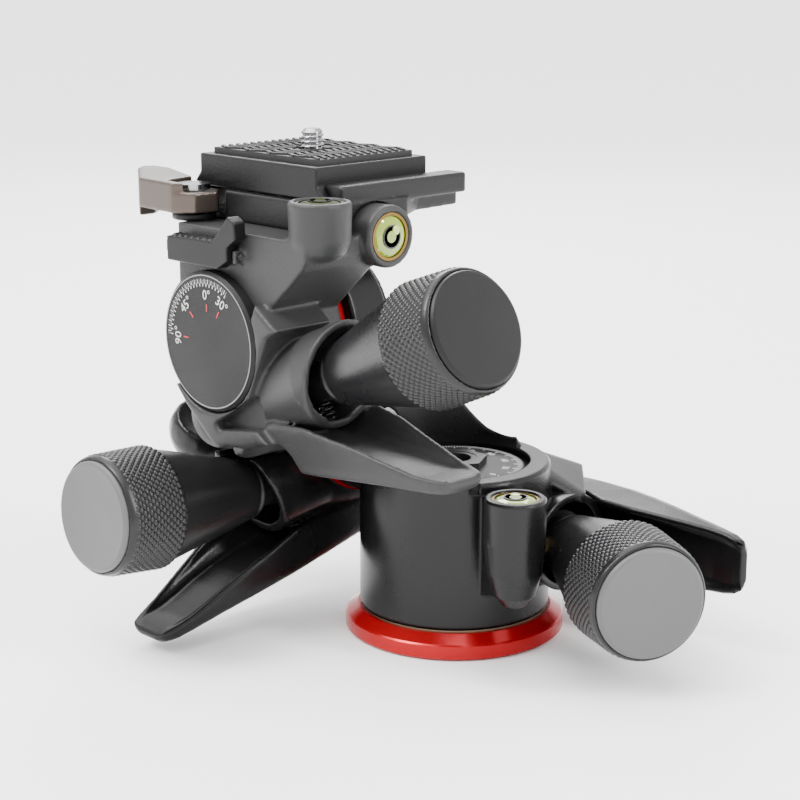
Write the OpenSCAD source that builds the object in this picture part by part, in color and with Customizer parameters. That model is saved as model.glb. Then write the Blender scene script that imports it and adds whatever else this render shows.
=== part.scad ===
// Geared head for a camera tripod: three axes, each turned by a knob, a worm and a worm wheel.
// X runs to the right, Y to the back, Z up. The origin is the middle of the base's underside.
// Squeezing a knob and the finger fin under it swings the worm out of mesh and frees that axis.

/* [Base] */
// Radius of the base flange
flange_r = 30; // [28:0.5:34]
// Height of the flange's upright rim
flange_rim = 4.3; // [3:0.1:6]
// Whole height of the flange
flange_h = 6.3; // [5.5:0.1:8]
// Thickness of the slide ring between base and drum
slide_ring_h = 0.6; // [0.4:0.1:1.5]
// Radius of the pan axle's journal
pan_axle_r = 8; // [7.5:0.25:9]
// Radius of the threaded bush that takes the tripod's screw
bush_r = 6.3; // [5.5:0.1:6.6]
// Length of the threaded bush
bush_len = 12; // [10:0.5:14]
// Minor radius of the bush's thread
thread_minor_r = 3.97; // [3.9:0.01:4.1]

/* [Pan body] */
// Radius of the pan drum
drum_r = 26; // [25.5:0.25:27]
// Height of the pan drum's top edge
drum_top = 47; // [45.5:0.5:50]
// Radius of the recess that shows the scale
recess_r = 20.5; // [19.5:0.25:21]
// Depth of that recess
recess_depth = 2.8; // [2:0.2:3.5]
// Outer radius of the level cups
cup_r = 8; // [7.8:0.1:8.6]
// Radius of the level vials
vial_r = 5.5; // [4.5:0.25:5.6]

/* [Drives] */
// Axial pitch of the worm thread, and of the wheels' teeth
tooth_pitch = 2.4; // [2:0.1:2.6]
// Teeth on the pan wheel
pan_teeth = 61; // [58:1:62]
// Teeth on the front tilt's wheel
tilt_teeth = 31; // [29:1:33]
// Teeth on the lateral tilt's wheel
lateral_teeth = 37; // [34:1:38]
// Pitch radius of the worms
worm_r = 4.5; // [4.2:0.1:5]
// Width of the worm wheels
wheel_w = 5; // [4:0.25:5.5]
// Angle that the tilts' worms swing out of mesh, degrees
release_angle = 6; // [5.5:0.25:6.5]
// Angle that the pan worm swings out of mesh, degrees
pan_release_angle = 8; // [7.5:0.25:8.5]

/* [Knobs] */
// Length of a knob
knob_len = 52; // [46:1:58]
// Radius at the front edge of the grip band
knob_rim_r = 15.6; // [14:0.1:16]
// Radius at the back edge of the grip band
knob_band_r = 16.2; // [15:0.1:16.6]
// Length of the grip band
knob_band_len = 15; // [12:0.5:20]
// Radius of the neck
knob_neck_r = 8.5; // [8:0.1:9]

/* [Axes] */
// Height of the front tilt's axis
tilt_z = 52; // [51:0.5:54]
// Place of the front tilt's axis along Y
tilt_y = -8; // [-9:0.5:-7]
// Place of the front tilt's wheel along X
tilt_x = -41; // [-43:0.5:-40]
// Height of the lateral tilt's axis
lateral_z = 80; // [79:0.5:84]
// Place of the lateral tilt's axis along X
lateral_x = -43.5; // [-46:0.5:-42]
// Place of the lateral tilt's wheel along Y
lateral_y = -37; // [-39:0.5:-36]

/* [Quick release] */
// Width of the plate's flange along X
plate_w = 48; // [44:0.5:52]
// Depth of the plate's flange along Y
plate_d = 40; // [38:0.5:44]
// Height of the seat that the plate lies on
seat_z = 118; // [117:0.5:124]

/* [Hidden] */
$fn = 96;

CASTING = [0.10, 0.10, 0.11];
GREY_CASTING = [0.24, 0.24, 0.25];
SATIN_BLACK = [0.07, 0.07, 0.07];
SOFT_GREY = [0.45, 0.45, 0.46];
RED = [0.72, 0.05, 0.05];
STEEL = [0.72, 0.73, 0.75];
BRASS = [0.72, 0.58, 0.30];
BRONZE = [0.42, 0.37, 0.33];
LEVEL_GREEN = [0.75, 0.82, 0.20];
RUBBER = [0.12, 0.12, 0.12];

FIT = 0.06;               // radial clearance of a running fit
GAP = 0.35;               // clearance between parts that pass each other
FINE = 32;                // facets round a hulled form

// Base stack
drum_z = flange_h + slide_ring_h;
axle_flange_r = 19;
axle_flange_h = 2;
axle_foot_r = 12;
axle_bore_r = 4.4;          // passage through the pan axle
base_screw_r = 1.5;
base_screw_ring = 16;
hub_room_r = 17;          // space above the pan wheel

// Drives
thread_add = 0.65;        // height of tooth and thread above the pitch line
thread_ded = 0.85;        // depth of tooth and thread below it
thread_half = 0.4;        // half thickness of tooth and thread on the pitch line
flank = tan(20);
worm_shaft_r = 3;
carrier_r = 6.9;          // outside of the worm carrier
carrier_slim_r = 5.4;     // outside of its front part
carrier_room = carrier_r + GAP;
carrier_arm_w = 4.1;      // half width of its arm
pin_half = carrier_room + 1;
spring_r = 2;
spring_wire_r = 0.35;
spring_len = 6.4;
function pitch_radius(teeth) = teeth * tooth_pitch / (2 * PI);
function centre_distance(teeth) = pitch_radius(teeth) + worm_r;
function worm_half(turns) = turns * tooth_pitch / 2;
function carrier_rear(pivot) = 2.6 - pivot;
function carrier_step(turns) = worm_half(turns) + 3.2;

// Each drive: turn about Z or rise of its worm, turns of its thread, pivot behind the wheel, outside of
// its tube,
// reach of its knob, place of its spring
pan_yaw = 26.05;
pan_worm_z = 25;
pan_turns = 4;
pan_pivot = 11;
pan_tube_r = 9.4;
pan_reach = 67.4;
pan_spring_x = -3;
tilt_rise = 3.5;
tilt_turns = 5;
tilt_pivot = 15;
tilt_tube_r = 10.6;
tilt_reach = 82;
tilt_spring_x = 12;
lateral_rise = 21.9;
lateral_turns = 5;
lateral_pivot = 15;
lateral_tube_r = 10.4;
lateral_reach = 86.5;
lateral_spring_x = 24.5;

// Fin measures are taken along a worm whose knob ends here
fin_reach = 83;
fin_mouth_r = 13.2;
mouth_bore_r = 11.4;
mouth_low = [24.8, -12.3];     // lowest point of the tube's slanted mouth
mouth_high = [37.3, 11.5];     // highest point of it
// Along the worm: underside, rim on the left, rim on the right, half width, floor of the finger channel
fin_stations = [
  [-14, 13.6, 5.0, 5.0, 6.4, 5.3],
  [-6, 16.6, 5.5, 5.5, 8.8, 6.2],
  [10, 20.9, 7.0, 7.0, 10.2, 9.0],
  [22, 24.2, 9.0, 10.5, 10.9, 15.5],
  [30, 26.4, 9.6, 14.6, 10.9, 18.5],
  [38, 28.8, 14.4, 18.6, 10.5, 21.8],
  [45, 31.0, 20.0, 22.8, 9.9, 25.0],
  [51, 33.0, 24.6, 26.4, 9.4, 28.2],
  [56, 34.7, 28.4, 29.4, 8.9, 30.6],
  [60, 36.0, 30.8, 31.2, 8.4, 31.8],
  [63, 36.5, 32.4, 32.5, 7.6, 32.8],
  [64.8, 35.6, 33.8, 33.8, 6.2, 34.0]
];

// Front tilt
hub_r = 17;
hub_face_x = -26.5;
tilt_ring_w = 1.3;
tilt_barrel = [-57, hub_face_x - tilt_ring_w - 0.2];
tilt_axle_r = 7;
tilt_cap_r = 12;

// Lateral tilt
lateral_axle_r = 6;
rear_barrel_r = 22;
rear_barrel = [-17, -4];
lateral_ring_y = [-19.5, -17.3];
lateral_ring_r = 19;
lateral_drum_r = 20.3;
dial_r = 19;
dial_y = [-50, -46.6];

// Clamp and plate
plate_x = -43;
plate_y = -12.5;
neck_top = 110;
plate_h = 9;
pad_h = 1.5;
dovetail = 2.2;           // how far the plate's foot stands out past its flange on each side
screw_major_r = 3.175;
screw_relief = 0.35;       // how far the screw's shank is turned down inside the plate
screw_rise = 5.5;

module at(p) {
  translate(p) children();
}

// Turns a shape made along +Z so that it runs along +X
module along_x() {
  rotate([0, 90, 0]) children();
}

// Turns a shape made along +Z so that it runs along +Y
module along_y() {
  rotate([-90, 0, 0]) children();
}

// A drive's own frame: +X along the worm to its knob, +Z from the worm to the wheel, fin below
module pan_drive() {
  cd = centre_distance(pan_teeth);
  translate([cd * sin(pan_yaw), cd * cos(pan_yaw), pan_worm_z])
    rotate([0, 0, -pan_yaw]) rotate([90, 0, 0]) children();
}

module tilt_drive() {
  cd = centre_distance(tilt_teeth);
  translate([tilt_x, tilt_y - cd * sin(tilt_rise), tilt_z - cd * cos(tilt_rise)])
    rotate([0, 0, -90]) rotate([0, -tilt_rise, 0]) children();
}

module lateral_drive() {
  cd = centre_distance(lateral_teeth);
  translate([lateral_x + cd * sin(lateral_rise), lateral_y, lateral_z - cd * cos(lateral_rise)])
    rotate([0, -lateral_rise, 0]) children();
}

// Tube from radius r1 at height z1 to r2 at z2
module cone(z1, r1, z2, r2) {
  translate([0, 0, z1]) cylinder(h = z2 - z1, r1 = r1, r2 = r2);
}

module rod(z1, z2, r) {
  translate([0, 0, z1]) cylinder(h = z2 - z1, r = r);
}

// Worm wheel in the X-Y plane with a gap between teeth at -Y
module worm_wheel(teeth, bore_r, hub_r, hub_low, hub_high) {
  r = pitch_radius(teeth);
  step = 360 / teeth;
  tip = (thread_half - thread_add * flank) / (r + thread_add) * 180 / PI;
  root = (thread_half + thread_ded * flank) / (r - thread_ded) * 180 / PI;
  outline = [for (i = [0 : teeth - 1]) for (k = [[-root, -thread_ded], [-tip, thread_add],
    [tip, thread_add],
    [root, -thread_ded]]) let (a = (i + 0.5) * step - 90 + k[0]) [(r + k[1]) * cos(a),
      (r + k[1]) * sin(a)]];
  difference() {
    union() {
      translate([0, 0, -wheel_w / 2]) linear_extrude(wheel_w) polygon(outline);
      rod(hub_low, hub_high, hub_r);
    }
    rod(hub_low - 1, hub_high + 1, bore_r);
  }
}

// One start thread round the X axis, its crest towards +Z at x = 0
module worm_thread(turns) {
  sides = 20;
  rings = turns * sides;
  sink = 0.25;
  root_r = worm_r - thread_ded - sink;
  tip_r = worm_r + thread_add;
  root_w = thread_half + (thread_ded + sink) * flank;
  tip_w = thread_half - thread_add * flank;
  points = [for (i = [0 : rings]) let (a = (i - rings / 2) * 360 / sides, x = a * tooth_pitch / 360)
    for (q = [[root_r, -root_w], [tip_r, -tip_w], [tip_r, tip_w], [root_r, root_w]])
      [x + q[1], q[0] * sin(a), q[0] * cos(a)]];
  sides_faces = [for (i = [0 : rings - 1]) for (k = [0 : 3]) let (a = 4 * i + k, b = 4 * i + (k + 1) % 4)
    for (f = [[a, b + 4, b], [a, a + 4, b + 4]]) f];
  ends = [[0, 1, 2], [0, 2, 3], [4 * rings, 4 * rings + 2, 4 * rings + 1],
    [4 * rings, 4 * rings + 3, 4 * rings + 2]];
  polyhedron(points, concat(sides_faces, ends));
}

// Worm on its shaft, whose end reaches into the knob
module worm(neck, turns, pivot) {
  half = worm_half(turns) + 1;
  union() {
    along_x() rod(carrier_rear(pivot) + 1, neck + 14, worm_shaft_r);
    along_x() rod(-half, half, worm_r - thread_ded);
    worm_thread(turns);
  }
}

// Sleeve that holds the worm, hung on a pivot behind it; its window lets the wheel in
module carrier(neck, teeth, turns, pivot) {
  chamber = worm_half(turns) + 1.4;
  rear = carrier_rear(pivot);
  step = carrier_step(turns);
  difference() {
    union() {
      along_x() rod(rear, step, carrier_r);
      along_x() rod(step - 1, neck - 0.8, carrier_slim_r);
      translate([-pivot, -carrier_arm_w, -3.5]) cube([pivot + rear + 0.5, 2 * carrier_arm_w, 7]);
      at([-pivot, 0, 0]) along_y() rod(-carrier_arm_w, carrier_arm_w, 3.5);
    }
    along_x() rod(rear + 0.6, neck + 1, worm_shaft_r + FIT);
    along_x() rod(-chamber, chamber, worm_r + thread_add + GAP);
    translate([-chamber, -wheel_w / 2 - 0.6, 1]) cube([2 * chamber, wheel_w + 1.2, carrier_r]);
    at([0, 0, centre_distance(teeth)]) along_y() rod(-wheel_w / 2 - 0.55, wheel_w / 2 + 0.55,
      pitch_radius(teeth) + thread_add + 0.45);
    at([-pivot, 0, 0]) along_y() rod(-carrier_r, carrier_r, 1.5 + FIT);
  }
}

module carrier_pin(pivot) {
  at([-pivot, 0, 0]) along_y() rod(-pin_half, pin_half, 1.5);
}

function carrier_under(place) = place > carrier_step(tilt_turns) ? carrier_slim_r : carrier_r;

// Coil spring that pushes the carrier up to the wheel; it stands in a blind hole under the carrier
module carrier_spring(place) {
  turns = 4;
  top = -carrier_under(place) - spring_wire_r;
  bottom = -carrier_under(place) - spring_len + spring_wire_r;
  sides = 14;
  rings = turns * sides;
  points = [for (i = [0 : rings]) let (a = i * 360 / sides, z = bottom + (top - bottom) * i / rings)
    for (k = [0 : 5]) let (r = spring_r + spring_wire_r * cos(60 * k))
      [place + r * cos(a), r * sin(a), z + spring_wire_r * sin(60 * k)]];
  skin = [for (i = [0 : rings - 1]) for (k = [0 : 5]) let (a = 6 * i + k, b = 6 * i + (k + 1) % 6)
    for (f = [[a, b, b + 6], [a, b + 6, a + 6]]) f];
  ends = [for (k = [1 : 4]) for (f = [[0, k + 1, k], [6 * rings, 6 * rings + k, 6 * rings + k + 1]]) f];
  polyhedron(points, concat(skin, ends));
}

// Knob from its neck, where x is neck, to its cap
module knob(neck) {
  band = knob_len - 3 - knob_band_len;
  rim = knob_len - 1.2;
  translate([neck, 0, 0]) along_x() difference() {
    rotate_extrude() polygon([
      [0, 0], [knob_neck_r - 1, 0], [knob_neck_r - 0.4, 0.6], [knob_neck_r - 0.4, 1.4],
        [knob_neck_r - 1, 1.6],
      [knob_neck_r - 1, 2.2], [knob_neck_r, 2.6], [knob_neck_r + 0.3, 4], [knob_band_r - 0.6, band - 0.6],
      [knob_band_r - 0.1, band], [knob_band_r, band + 0.6], [knob_rim_r + 0.1, rim - 1.6],
        [knob_rim_r - 0.2, rim - 0.5],
      [knob_rim_r - 0.7, rim], [knob_rim_r - 1.1, rim], [knob_rim_r - 1.1, rim - 2], [0, rim - 2]
    ]);
    rod(-1, 14, worm_shaft_r);
    for (a = [0 : 60 : 300])
      rotate([0, 0, a]) knob_pocket(band);
  }
}

// Shallow pocket in the knob's cone, wider towards the grip band
module knob_pocket(band) {
  low = 9;
  high = band - 4;
  slope = atan((knob_band_r - knob_neck_r) / band);
  translate([knob_neck_r, 0, 0]) rotate([0, slope, 0]) translate([-0.2, 0, 0]) rotate([90, 0, 90])
    linear_extrude(4) polygon([[-1.6, low], [1.6, low], [3.4, high], [-3.4, high]]);
}

module knob_cap(neck) {
  edge = knob_rim_r - 1.15;
  top = knob_len;
  translate([neck, 0, 0]) along_x() rotate_extrude() polygon(concat([[0, top - 3.2], [edge, top - 3.2],
    [edge, top - 0.9], [edge - 0.3, top - 0.3], [edge - 0.9, top]],
    [for (i = [1 : 8]) let (t = 1 - i / 8) [(edge - 0.9) * t, top - 0.5 * (1 - t * t)]]));
}

// Closed ring of fin section points, in the Y-Z plane
function fin_section(s) =
  let (low = -s[1], left = -s[2], right = -s[3], w = s[4], floor = -s[5], c = min(2.6, w * 0.35),
    t = min(1.7, w * 0.2), flare = min(2.2, (min(left, right) - floor) * 0.5))
  [[-w + 0.5, left], [-w, left - 0.6], [-w + 0.25, low + c + 0.8], [-w + c * 0.35, low + c * 0.35],
    [-w + c + 0.6, low],
   [w - c - 0.6, low], [w - c * 0.35, low + c * 0.35], [w - 0.25, low + c + 0.8], [w, right - 0.6],
     [w - 0.5, right],
   [w - t, right - 0.1], [w - t - 0.5, (right * 0.45 + floor * 0.55)], [w - t - flare - 0.9, floor],
   [-w + t + flare + 0.9, floor], [-w + t + 0.5, (left * 0.45 + floor * 0.55)], [-w + t, left - 0.1]];

// Skin through sections with the same number of points, first and last closed flat
module loft(sections, places) {
  n = len(sections[0]);
  rows = len(sections);
  points = [for (i = [0 : rows - 1]) for (p = sections[i]) [places[i], p[0], p[1]]];
  skin = [for (i = [0 : rows - 2]) for (k = [0 : n - 1]) let (a = n * i + k, b = n * i + (k + 1) % n)
    for (f = [[a, a + n, b + n], [a, b + n, b]]) f];
  first = [for (k = [0 : n / 2 - 2]) for (f = [[k, k + 1, n - 1 - k], [k + 1, n - 2 - k, n - 1 - k]]) f];
  last = [for (f = first) [for (k = [2, 1, 0]) f[k] + n * (rows - 1)]];
  polyhedron(points, concat(skin, first, last));
}

// Finger fin of a drive whose knob reaches this far; side is 1 where the measured left rim is at +Y
module fin(reach, side) {
  shift = reach - fin_reach;
  stations = [for (s = fin_stations) [s[0] + shift, s[1], side > 0 ? s[3] : s[2], side > 0 ? s[2] : s[3],
    s[4], s[5]]];
  loft([for (s = stations) fin_section(s)], [for (s = stations) s[0]]);
}

// Tube that houses a drive's carrier, ending in a slanted, flared mouth
module drive_tube(reach, pivot, tube_r) {
  shift = reach - fin_reach;
  slant = atan2(mouth_high[0] - mouth_low[0], mouth_high[1] - mouth_low[1]);
  difference() {
    along_x() union() {
      rod(-pivot - 1, 9 + shift, tube_r);
      translate([0, 0, -pivot - 1]) rotate_extrude() intersection() {
        circle(tube_r);
        translate([0, -tube_r * 0.5]) square([tube_r, tube_r]);
      }
      cone(9 + shift, tube_r, 26 + shift, fin_mouth_r);
      rod(26 + shift, 40 + shift, fin_mouth_r);
    }
    translate([mouth_low[0] + shift, 0, mouth_low[1]]) rotate([0, slant, 0])
      translate([0, -20, -30]) cube([60, 40, 80]);
  }
}

// Room for the carrier, its swing, its pivot pin and its spring
module drive_room(reach, pivot, turns, swing, spring_place) {
  shift = reach - fin_reach;
  neck = reach - knob_len;
  rear = carrier_rear(pivot) - GAP;
  step = carrier_step(turns);
  arm = carrier_arm_w + GAP;
  along_x() rod(rear, shift + 14.01, carrier_room);
  along_x() cone(shift + 14, carrier_room, shift + 29, mouth_bore_r);
  along_x() rod(shift + 28.9, shift + 46, mouth_bore_r);
  translate([-pivot, 0, 0]) rotate([0, swing + 0.4, 0]) {
    swing_slot(pivot + rear - 0.6, pivot + step + 1, carrier_room + 0.15, carrier_room);
    swing_slot(pivot + step, pivot + neck + 8, carrier_slim_r + 0.5, carrier_slim_r + 0.4);
    swing_slot(pivot + neck - 2, pivot + neck + 12, knob_neck_r + 0.7, knob_neck_r + 0.6);
  }
  translate([-pivot, -arm, -arm]) cube([pivot + rear + 1, 2 * arm, arm + 3.9]);
  at([-pivot, 0, 0]) along_y() rod(-arm, arm, 4);
  at([-pivot, 0, 0]) along_y() rod(-pin_half, pin_half, 1.5);
  at([spring_place, 0, -carrier_under(spring_place) - spring_len]) cylinder(h = 8, r = spring_r + 0.7);
}

// Slot below the worm's axis from x1 to x2, half as wide as w and this deep, with cut lower corners
module swing_slot(x1, x2, w, deep) {
  translate([x1, 0, 0]) rotate([90, 0, 90]) linear_extrude(x2 - x1)
    polygon([[-w, 2], [-w, -deep * 0.5], [-w * 0.55, -deep], [w * 0.55, -deep], [w, -deep * 0.5],
      [w, 2]]);
}

// Base

module base_flange() {
  color(RED) difference() {
    rotate_extrude() polygon([[axle_foot_r, 0], [flange_r - 0.5, 0], [flange_r, 0.5],
      [flange_r, flange_rim - 0.4],
      [flange_r - 0.4, flange_rim], [drum_r + 0.6, flange_h], [axle_foot_r, flange_h]]);
    base_screw_holes();
  }
}

module base_screw_holes() {
  for (a = [30 : 120 : 270])
    rotate([0, 0, a]) translate([base_screw_ring, 0, 0]) {
      rod(-1, flange_h + 1, base_screw_r);
      cone(0, 2 * base_screw_r, 1.6, base_screw_r);
    }
}

module base_screws() {
  color(STEEL) for (a = [30 : 120 : 270])
    rotate([0, 0, a]) translate([base_screw_ring, 0, 0]) difference() {
      union() {
        cone(0, 2 * base_screw_r, 1.6, base_screw_r);
        rod(1.6, flange_h + axle_flange_h, base_screw_r);
      }
      rod(-1, 0.9, 0.9, $fn = 6);
    }
}

module thread_bush() {
  color(STEEL) difference() {
    rod(0, bush_len, bush_r);
    rod(-1, bush_len + 1, thread_minor_r);
  }
}

module pan_axle() {
  floor_z = drum_top - recess_depth;
  color(STEEL) difference() {
    union() {
      rod(0, flange_h, axle_foot_r);
      rod(flange_h, flange_h + axle_flange_h, axle_flange_r);
      rod(flange_h, floor_z + 0.25, pan_axle_r);
      rod(floor_z, floor_z + 3, pan_axle_r - 2);
    }
    rod(-1, bush_len, bush_r);
    rod(bush_len - 1, floor_z + 4, axle_bore_r);
    for (a = [30 : 120 : 270])
      rotate([0, 0, a]) translate([base_screw_ring, 0, 0]) rod(flange_h - 1,
        flange_h + axle_flange_h + 1, base_screw_r);
  }
}

module pan_wheel() {
  color(BRASS) translate([0, 0, pan_worm_z]) rotate([0, 0, 180 - pan_yaw])
    worm_wheel(pan_teeth, pan_axle_r, pan_axle_r + 4, flange_h + axle_flange_h - pan_worm_z,
      wheel_w / 2 + 2);
}

module slide_ring() {
  color(BRASS) difference() {
    rod(flange_h, drum_z - 0.05, drum_r - 0.2);
    rod(flange_h - 1, drum_z + 1, drum_r - 4);
  }
}

module pan_scale() {
  floor_z = drum_top - recess_depth;
  teeth = 72;
  r = recess_r - 1.6;
  color(SOFT_GREY) translate([0, 0, floor_z + 0.25]) difference() {
    linear_extrude(0.9) polygon([for (i = [0 : 2 * teeth - 1])
      let (a = i * 180 / teeth, q = r - (i % 2) * 0.5) [q * cos(a), q * sin(a)]]);
    rod(-1, 2, pan_axle_r - 2);
  }
}

module pan_lock_nut() {
  floor_z = drum_top - recess_depth + 1.15;
  color(STEEL) difference() {
    rod(floor_z, floor_z + 2, pan_axle_r + 1, $fn = 6);
    rod(floor_z - 1, floor_z + 3, pan_axle_r - 2);
  }
}

// Pan body

level_cup = [34.5, -13.2, drum_top - 0.8];
column_outline = [[-20, 40], [26.5, 40], [26.5, 44.5], [22.8, 46.4], [19.4, 51], [15.8, 58.2],
  [11.8, 63.4],
  [7.6, 66.6], [2.5, 68.6], [-4, 69.4]];

module pan_housing() {
  floor_z = drum_top - recess_depth;
  color(CASTING) difference() {
    union() {
      rotate_extrude() polygon([[8, drum_z], [drum_r - 0.6, drum_z], [drum_r, drum_z + 0.6],
        [drum_r, drum_top - 0.8],
        [drum_r - 0.8, drum_top], [8, drum_top]]);
      at([hub_face_x, tilt_y, tilt_z]) along_x() rod(0, 14, hub_r);
      pan_column();
      pan_drive() drive_tube(pan_reach, pan_pivot, pan_tube_r);
      pan_drive() fin(pan_reach, 1);
      pan_shoulder();
      pan_cup();
    }
    rod(floor_z, drum_top + 40, recess_r);
    rod(drum_z - 1, pan_worm_z + wheel_w / 2 + 2.5, pitch_radius(pan_teeth) + thread_add + GAP);
    rod(drum_z - 1, floor_z - 4.5, hub_room_r);
    rod(drum_z, drum_top, pan_axle_r + 2);
    pan_drive() drive_room(pan_reach, pan_pivot, pan_turns, pan_release_angle, pan_spring_x);
    at(level_cup) rod(-4.5, 1, vial_r + 0.8);
    at([hub_face_x - 1, tilt_y, tilt_z]) along_x() rod(0, 20, tilt_axle_r);
    translate([recess_r - 1, -14.5, floor_z]) rotate([0, 0, -38]) cube([3.4, 2.4, 5]);
    clamp_passage([-2.1, 33.6], 25.9);
    clamp_passage([1.1, 31.9], 33.4);
    clamp_passage([2.5, 35.6], 27.4);
  }
}

// Space for the clamp's back corner when both tilts stand at their ends: all above z, behind the corner p
module clamp_passage(p, z) {
  translate([p[0], p[1], z]) rotate([0, 0, -30]) translate([-60, 0, 0]) cube([60, 40, 40]);
}

// Wall of the drum carried up round the left and back of the scale
module pan_column() {
  intersection() {
    difference() {
      rod(drum_top - 8, 72, drum_r);
      rod(drum_top - 9, 73, recess_r);
    }
    at([-30, 0, 0]) rotate([90, 0, 90]) linear_extrude(34) polygon(column_outline);
  }
}

// Shoulder that falls from the drum's rim to the back of the fin
module pan_shoulder() {
  hull() {
    at([-3, 18, 0]) rod(pan_worm_z - 9, drum_top - 0.6, 7.5, $fn = FINE);
    at([8, 38.5, 0]) rod(pan_worm_z - 9.5, drum_top - 8, 3.5, $fn = FINE);
    at([24, 22, 0]) rod(pan_worm_z - 9, drum_top - 9, 3, $fn = FINE);
  }
}

module pan_cup() {
  at(level_cup) rotate_extrude() polygon([[0, -30], [3, -29], [5.5, -26], [7.2, -20], [cup_r, -12],
    [cup_r, -0.5],
    [cup_r - 0.5, 0], [0, 0]]);
  hull() {
    at(level_cup) rod(-26, -2.5, 4);
    at([20, -8, level_cup[2]]) rod(-30, -2.5, 4);
  }
}

module level_vial() {
  rotate_extrude() polygon(concat([[0, -4.5], [vial_r, -4.5], [vial_r, -1]],
    [for (i = [1 : 6]) [vial_r * cos(i * 15), -1 + 1.1 * sin(i * 15)]]));
}

module level_ring() {
  difference() {
    rod(-4.5, -0.4, vial_r + 0.8);
    rod(-5, 0, vial_r);
  }
}

module pan_level_vial() {
  color(LEVEL_GREEN) at(level_cup) level_vial();
}

module pan_level_ring() {
  color(BRASS) at(level_cup) level_ring();
}

module pan_bush() {
  floor_z = drum_top - recess_depth;
  color(BRASS) difference() {
    rod(floor_z - 4.5, floor_z, pan_axle_r + 2);
    rod(floor_z - 6, floor_z + 1, pan_axle_r + FIT);
  }
}

module tilt_axle() {
  color(STEEL) at([0, tilt_y, tilt_z]) along_x() {
    rod(tilt_barrel[0] + 3, hub_face_x + 6, tilt_axle_r);
    rod(tilt_barrel[0] + 2, tilt_barrel[0] + 3, tilt_axle_r - 0.6);
  }
}

module tilt_wheel() {
  color(BRASS) tilt_drive() at([0, 0, centre_distance(tilt_teeth)]) rotate([90, 0, 0])
    worm_wheel(tilt_teeth, tilt_axle_r, tilt_axle_r + 2, -wheel_w / 2, wheel_w / 2);
}

// Tilt body

module tilt_housing() {
  wheel_room = wheel_w / 2 + GAP;
  tip_room = pitch_radius(tilt_teeth) + thread_add + GAP;
  color(CASTING) difference() {
    union() {
      at([0, tilt_y, tilt_z]) along_x() rod(tilt_barrel[0], tilt_barrel[1], hub_r);
      tilt_drive() drive_tube(tilt_reach, tilt_pivot, tilt_tube_r);
      tilt_drive() fin(tilt_reach, -1);
      tilt_slab();
      at([lateral_x, 0, lateral_z]) along_y() rod(rear_barrel[0], rear_barrel[1], rear_barrel_r);
      at([lateral_x, 0, lateral_z]) along_y() rod(rear_barrel[1], rear_barrel[1] + 3,
        rear_barrel_r - 2.5);
      tilt_boss();
    }
    at([lateral_x, 0, lateral_z]) along_y() {
      rod(-60, -25.5, 33.2);
      rod(-26, lateral_ring_y[0] + 0.2, lateral_drum_r + 1.1);
      rod(-20, rear_barrel[0], lateral_ring_r + 0.4);
    }
    at([tilt_barrel[1], tilt_y, tilt_z]) along_x() rod(0, 12, 24.2);
    at([0, tilt_y, tilt_z]) along_x() rod(tilt_barrel[0] - 1, tilt_barrel[1] + 1, tilt_axle_r + FIT);
    at([tilt_x, tilt_y, tilt_z]) along_x() rod(-wheel_room, wheel_room, tip_room);
    at([0, tilt_y, tilt_z]) along_x() rod(tilt_barrel[0] - 1, tilt_barrel[0] + 2, tilt_cap_r);
    tilt_drive() drive_room(tilt_reach, tilt_pivot, tilt_turns, release_angle, tilt_spring_x);
    at([lateral_x, 0, lateral_z]) along_y() rod(rear_barrel[0] - 1, rear_barrel[1] - 3, lateral_axle_r);
  }
}

// Round boss on the left of the tilt body
module tilt_boss() {
  at([-64, 0, 49.5]) along_y() rotate_extrude() polygon([[0, -45.5], [3.6, -45], [6.6, -43.4],
    [8.8, -40.6], [9.8, -37],
    [10, -33], [10, -18], [9, -15], [0, -15]]);
}

// Plate that joins the front tilt's barrel to the lateral tilt's rear barrel
module tilt_slab() {
  left = tilt_barrel[0];
  right = tilt_barrel[1] - 0.5;
  translate([0, rear_barrel[0], 0]) rotate([90, 0, 0]) mirror([0, 0,
    1]) linear_extrude(rear_barrel[1] - rear_barrel[0])
    polygon([[left, tilt_z], [right, tilt_z], [right, tilt_z + 12],
      [lateral_x + rear_barrel_r, lateral_z],
      [lateral_x - rear_barrel_r, lateral_z], [left, tilt_z + 12]]);
}

module tilt_ring() {
  color(RED) at([tilt_barrel[1], tilt_y, tilt_z]) along_x() difference() {
    rod(0, tilt_ring_w, hub_r + 0.6);
    rod(-1, tilt_ring_w + 1, tilt_axle_r + FIT);
  }
}

module tilt_end_cap() {
  color(SATIN_BLACK) at([tilt_barrel[0], tilt_y, tilt_z]) along_x() difference() {
    union() {
      rod(0, 2, tilt_cap_r);
      cone(-0.8, tilt_cap_r - 1.5, 0, tilt_cap_r);
    }
    rod(-1, 0.2, 2.5, $fn = 6);
  }
}

module lateral_axle() {
  color(STEEL) at([lateral_x, 0, lateral_z]) along_y() rod(dial_y[1] + 0.2, rear_barrel[1] - 3,
    lateral_axle_r);
}

module lateral_wheel() {
  color(BRASS) at([lateral_x, lateral_y, lateral_z]) rotate([0, -lateral_rise, 0]) rotate([90, 0, 0])
    worm_wheel(lateral_teeth, lateral_axle_r, lateral_axle_r + 2, -wheel_w / 2, wheel_w / 2);
}

module lateral_dial() {
  color(SATIN_BLACK) at([lateral_x, 0, lateral_z]) along_y() union() {
    rotate_extrude() polygon([[0, dial_y[0]], [dial_r - 0.8, dial_y[0]], [dial_r, dial_y[0] + 0.8],
      [dial_r, dial_y[1]],
      [0, dial_y[1]]]);
    rod(dial_y[0] + 1, dial_y[1] + 0.2, lateral_axle_r);
  }
}

// Lateral body

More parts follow.
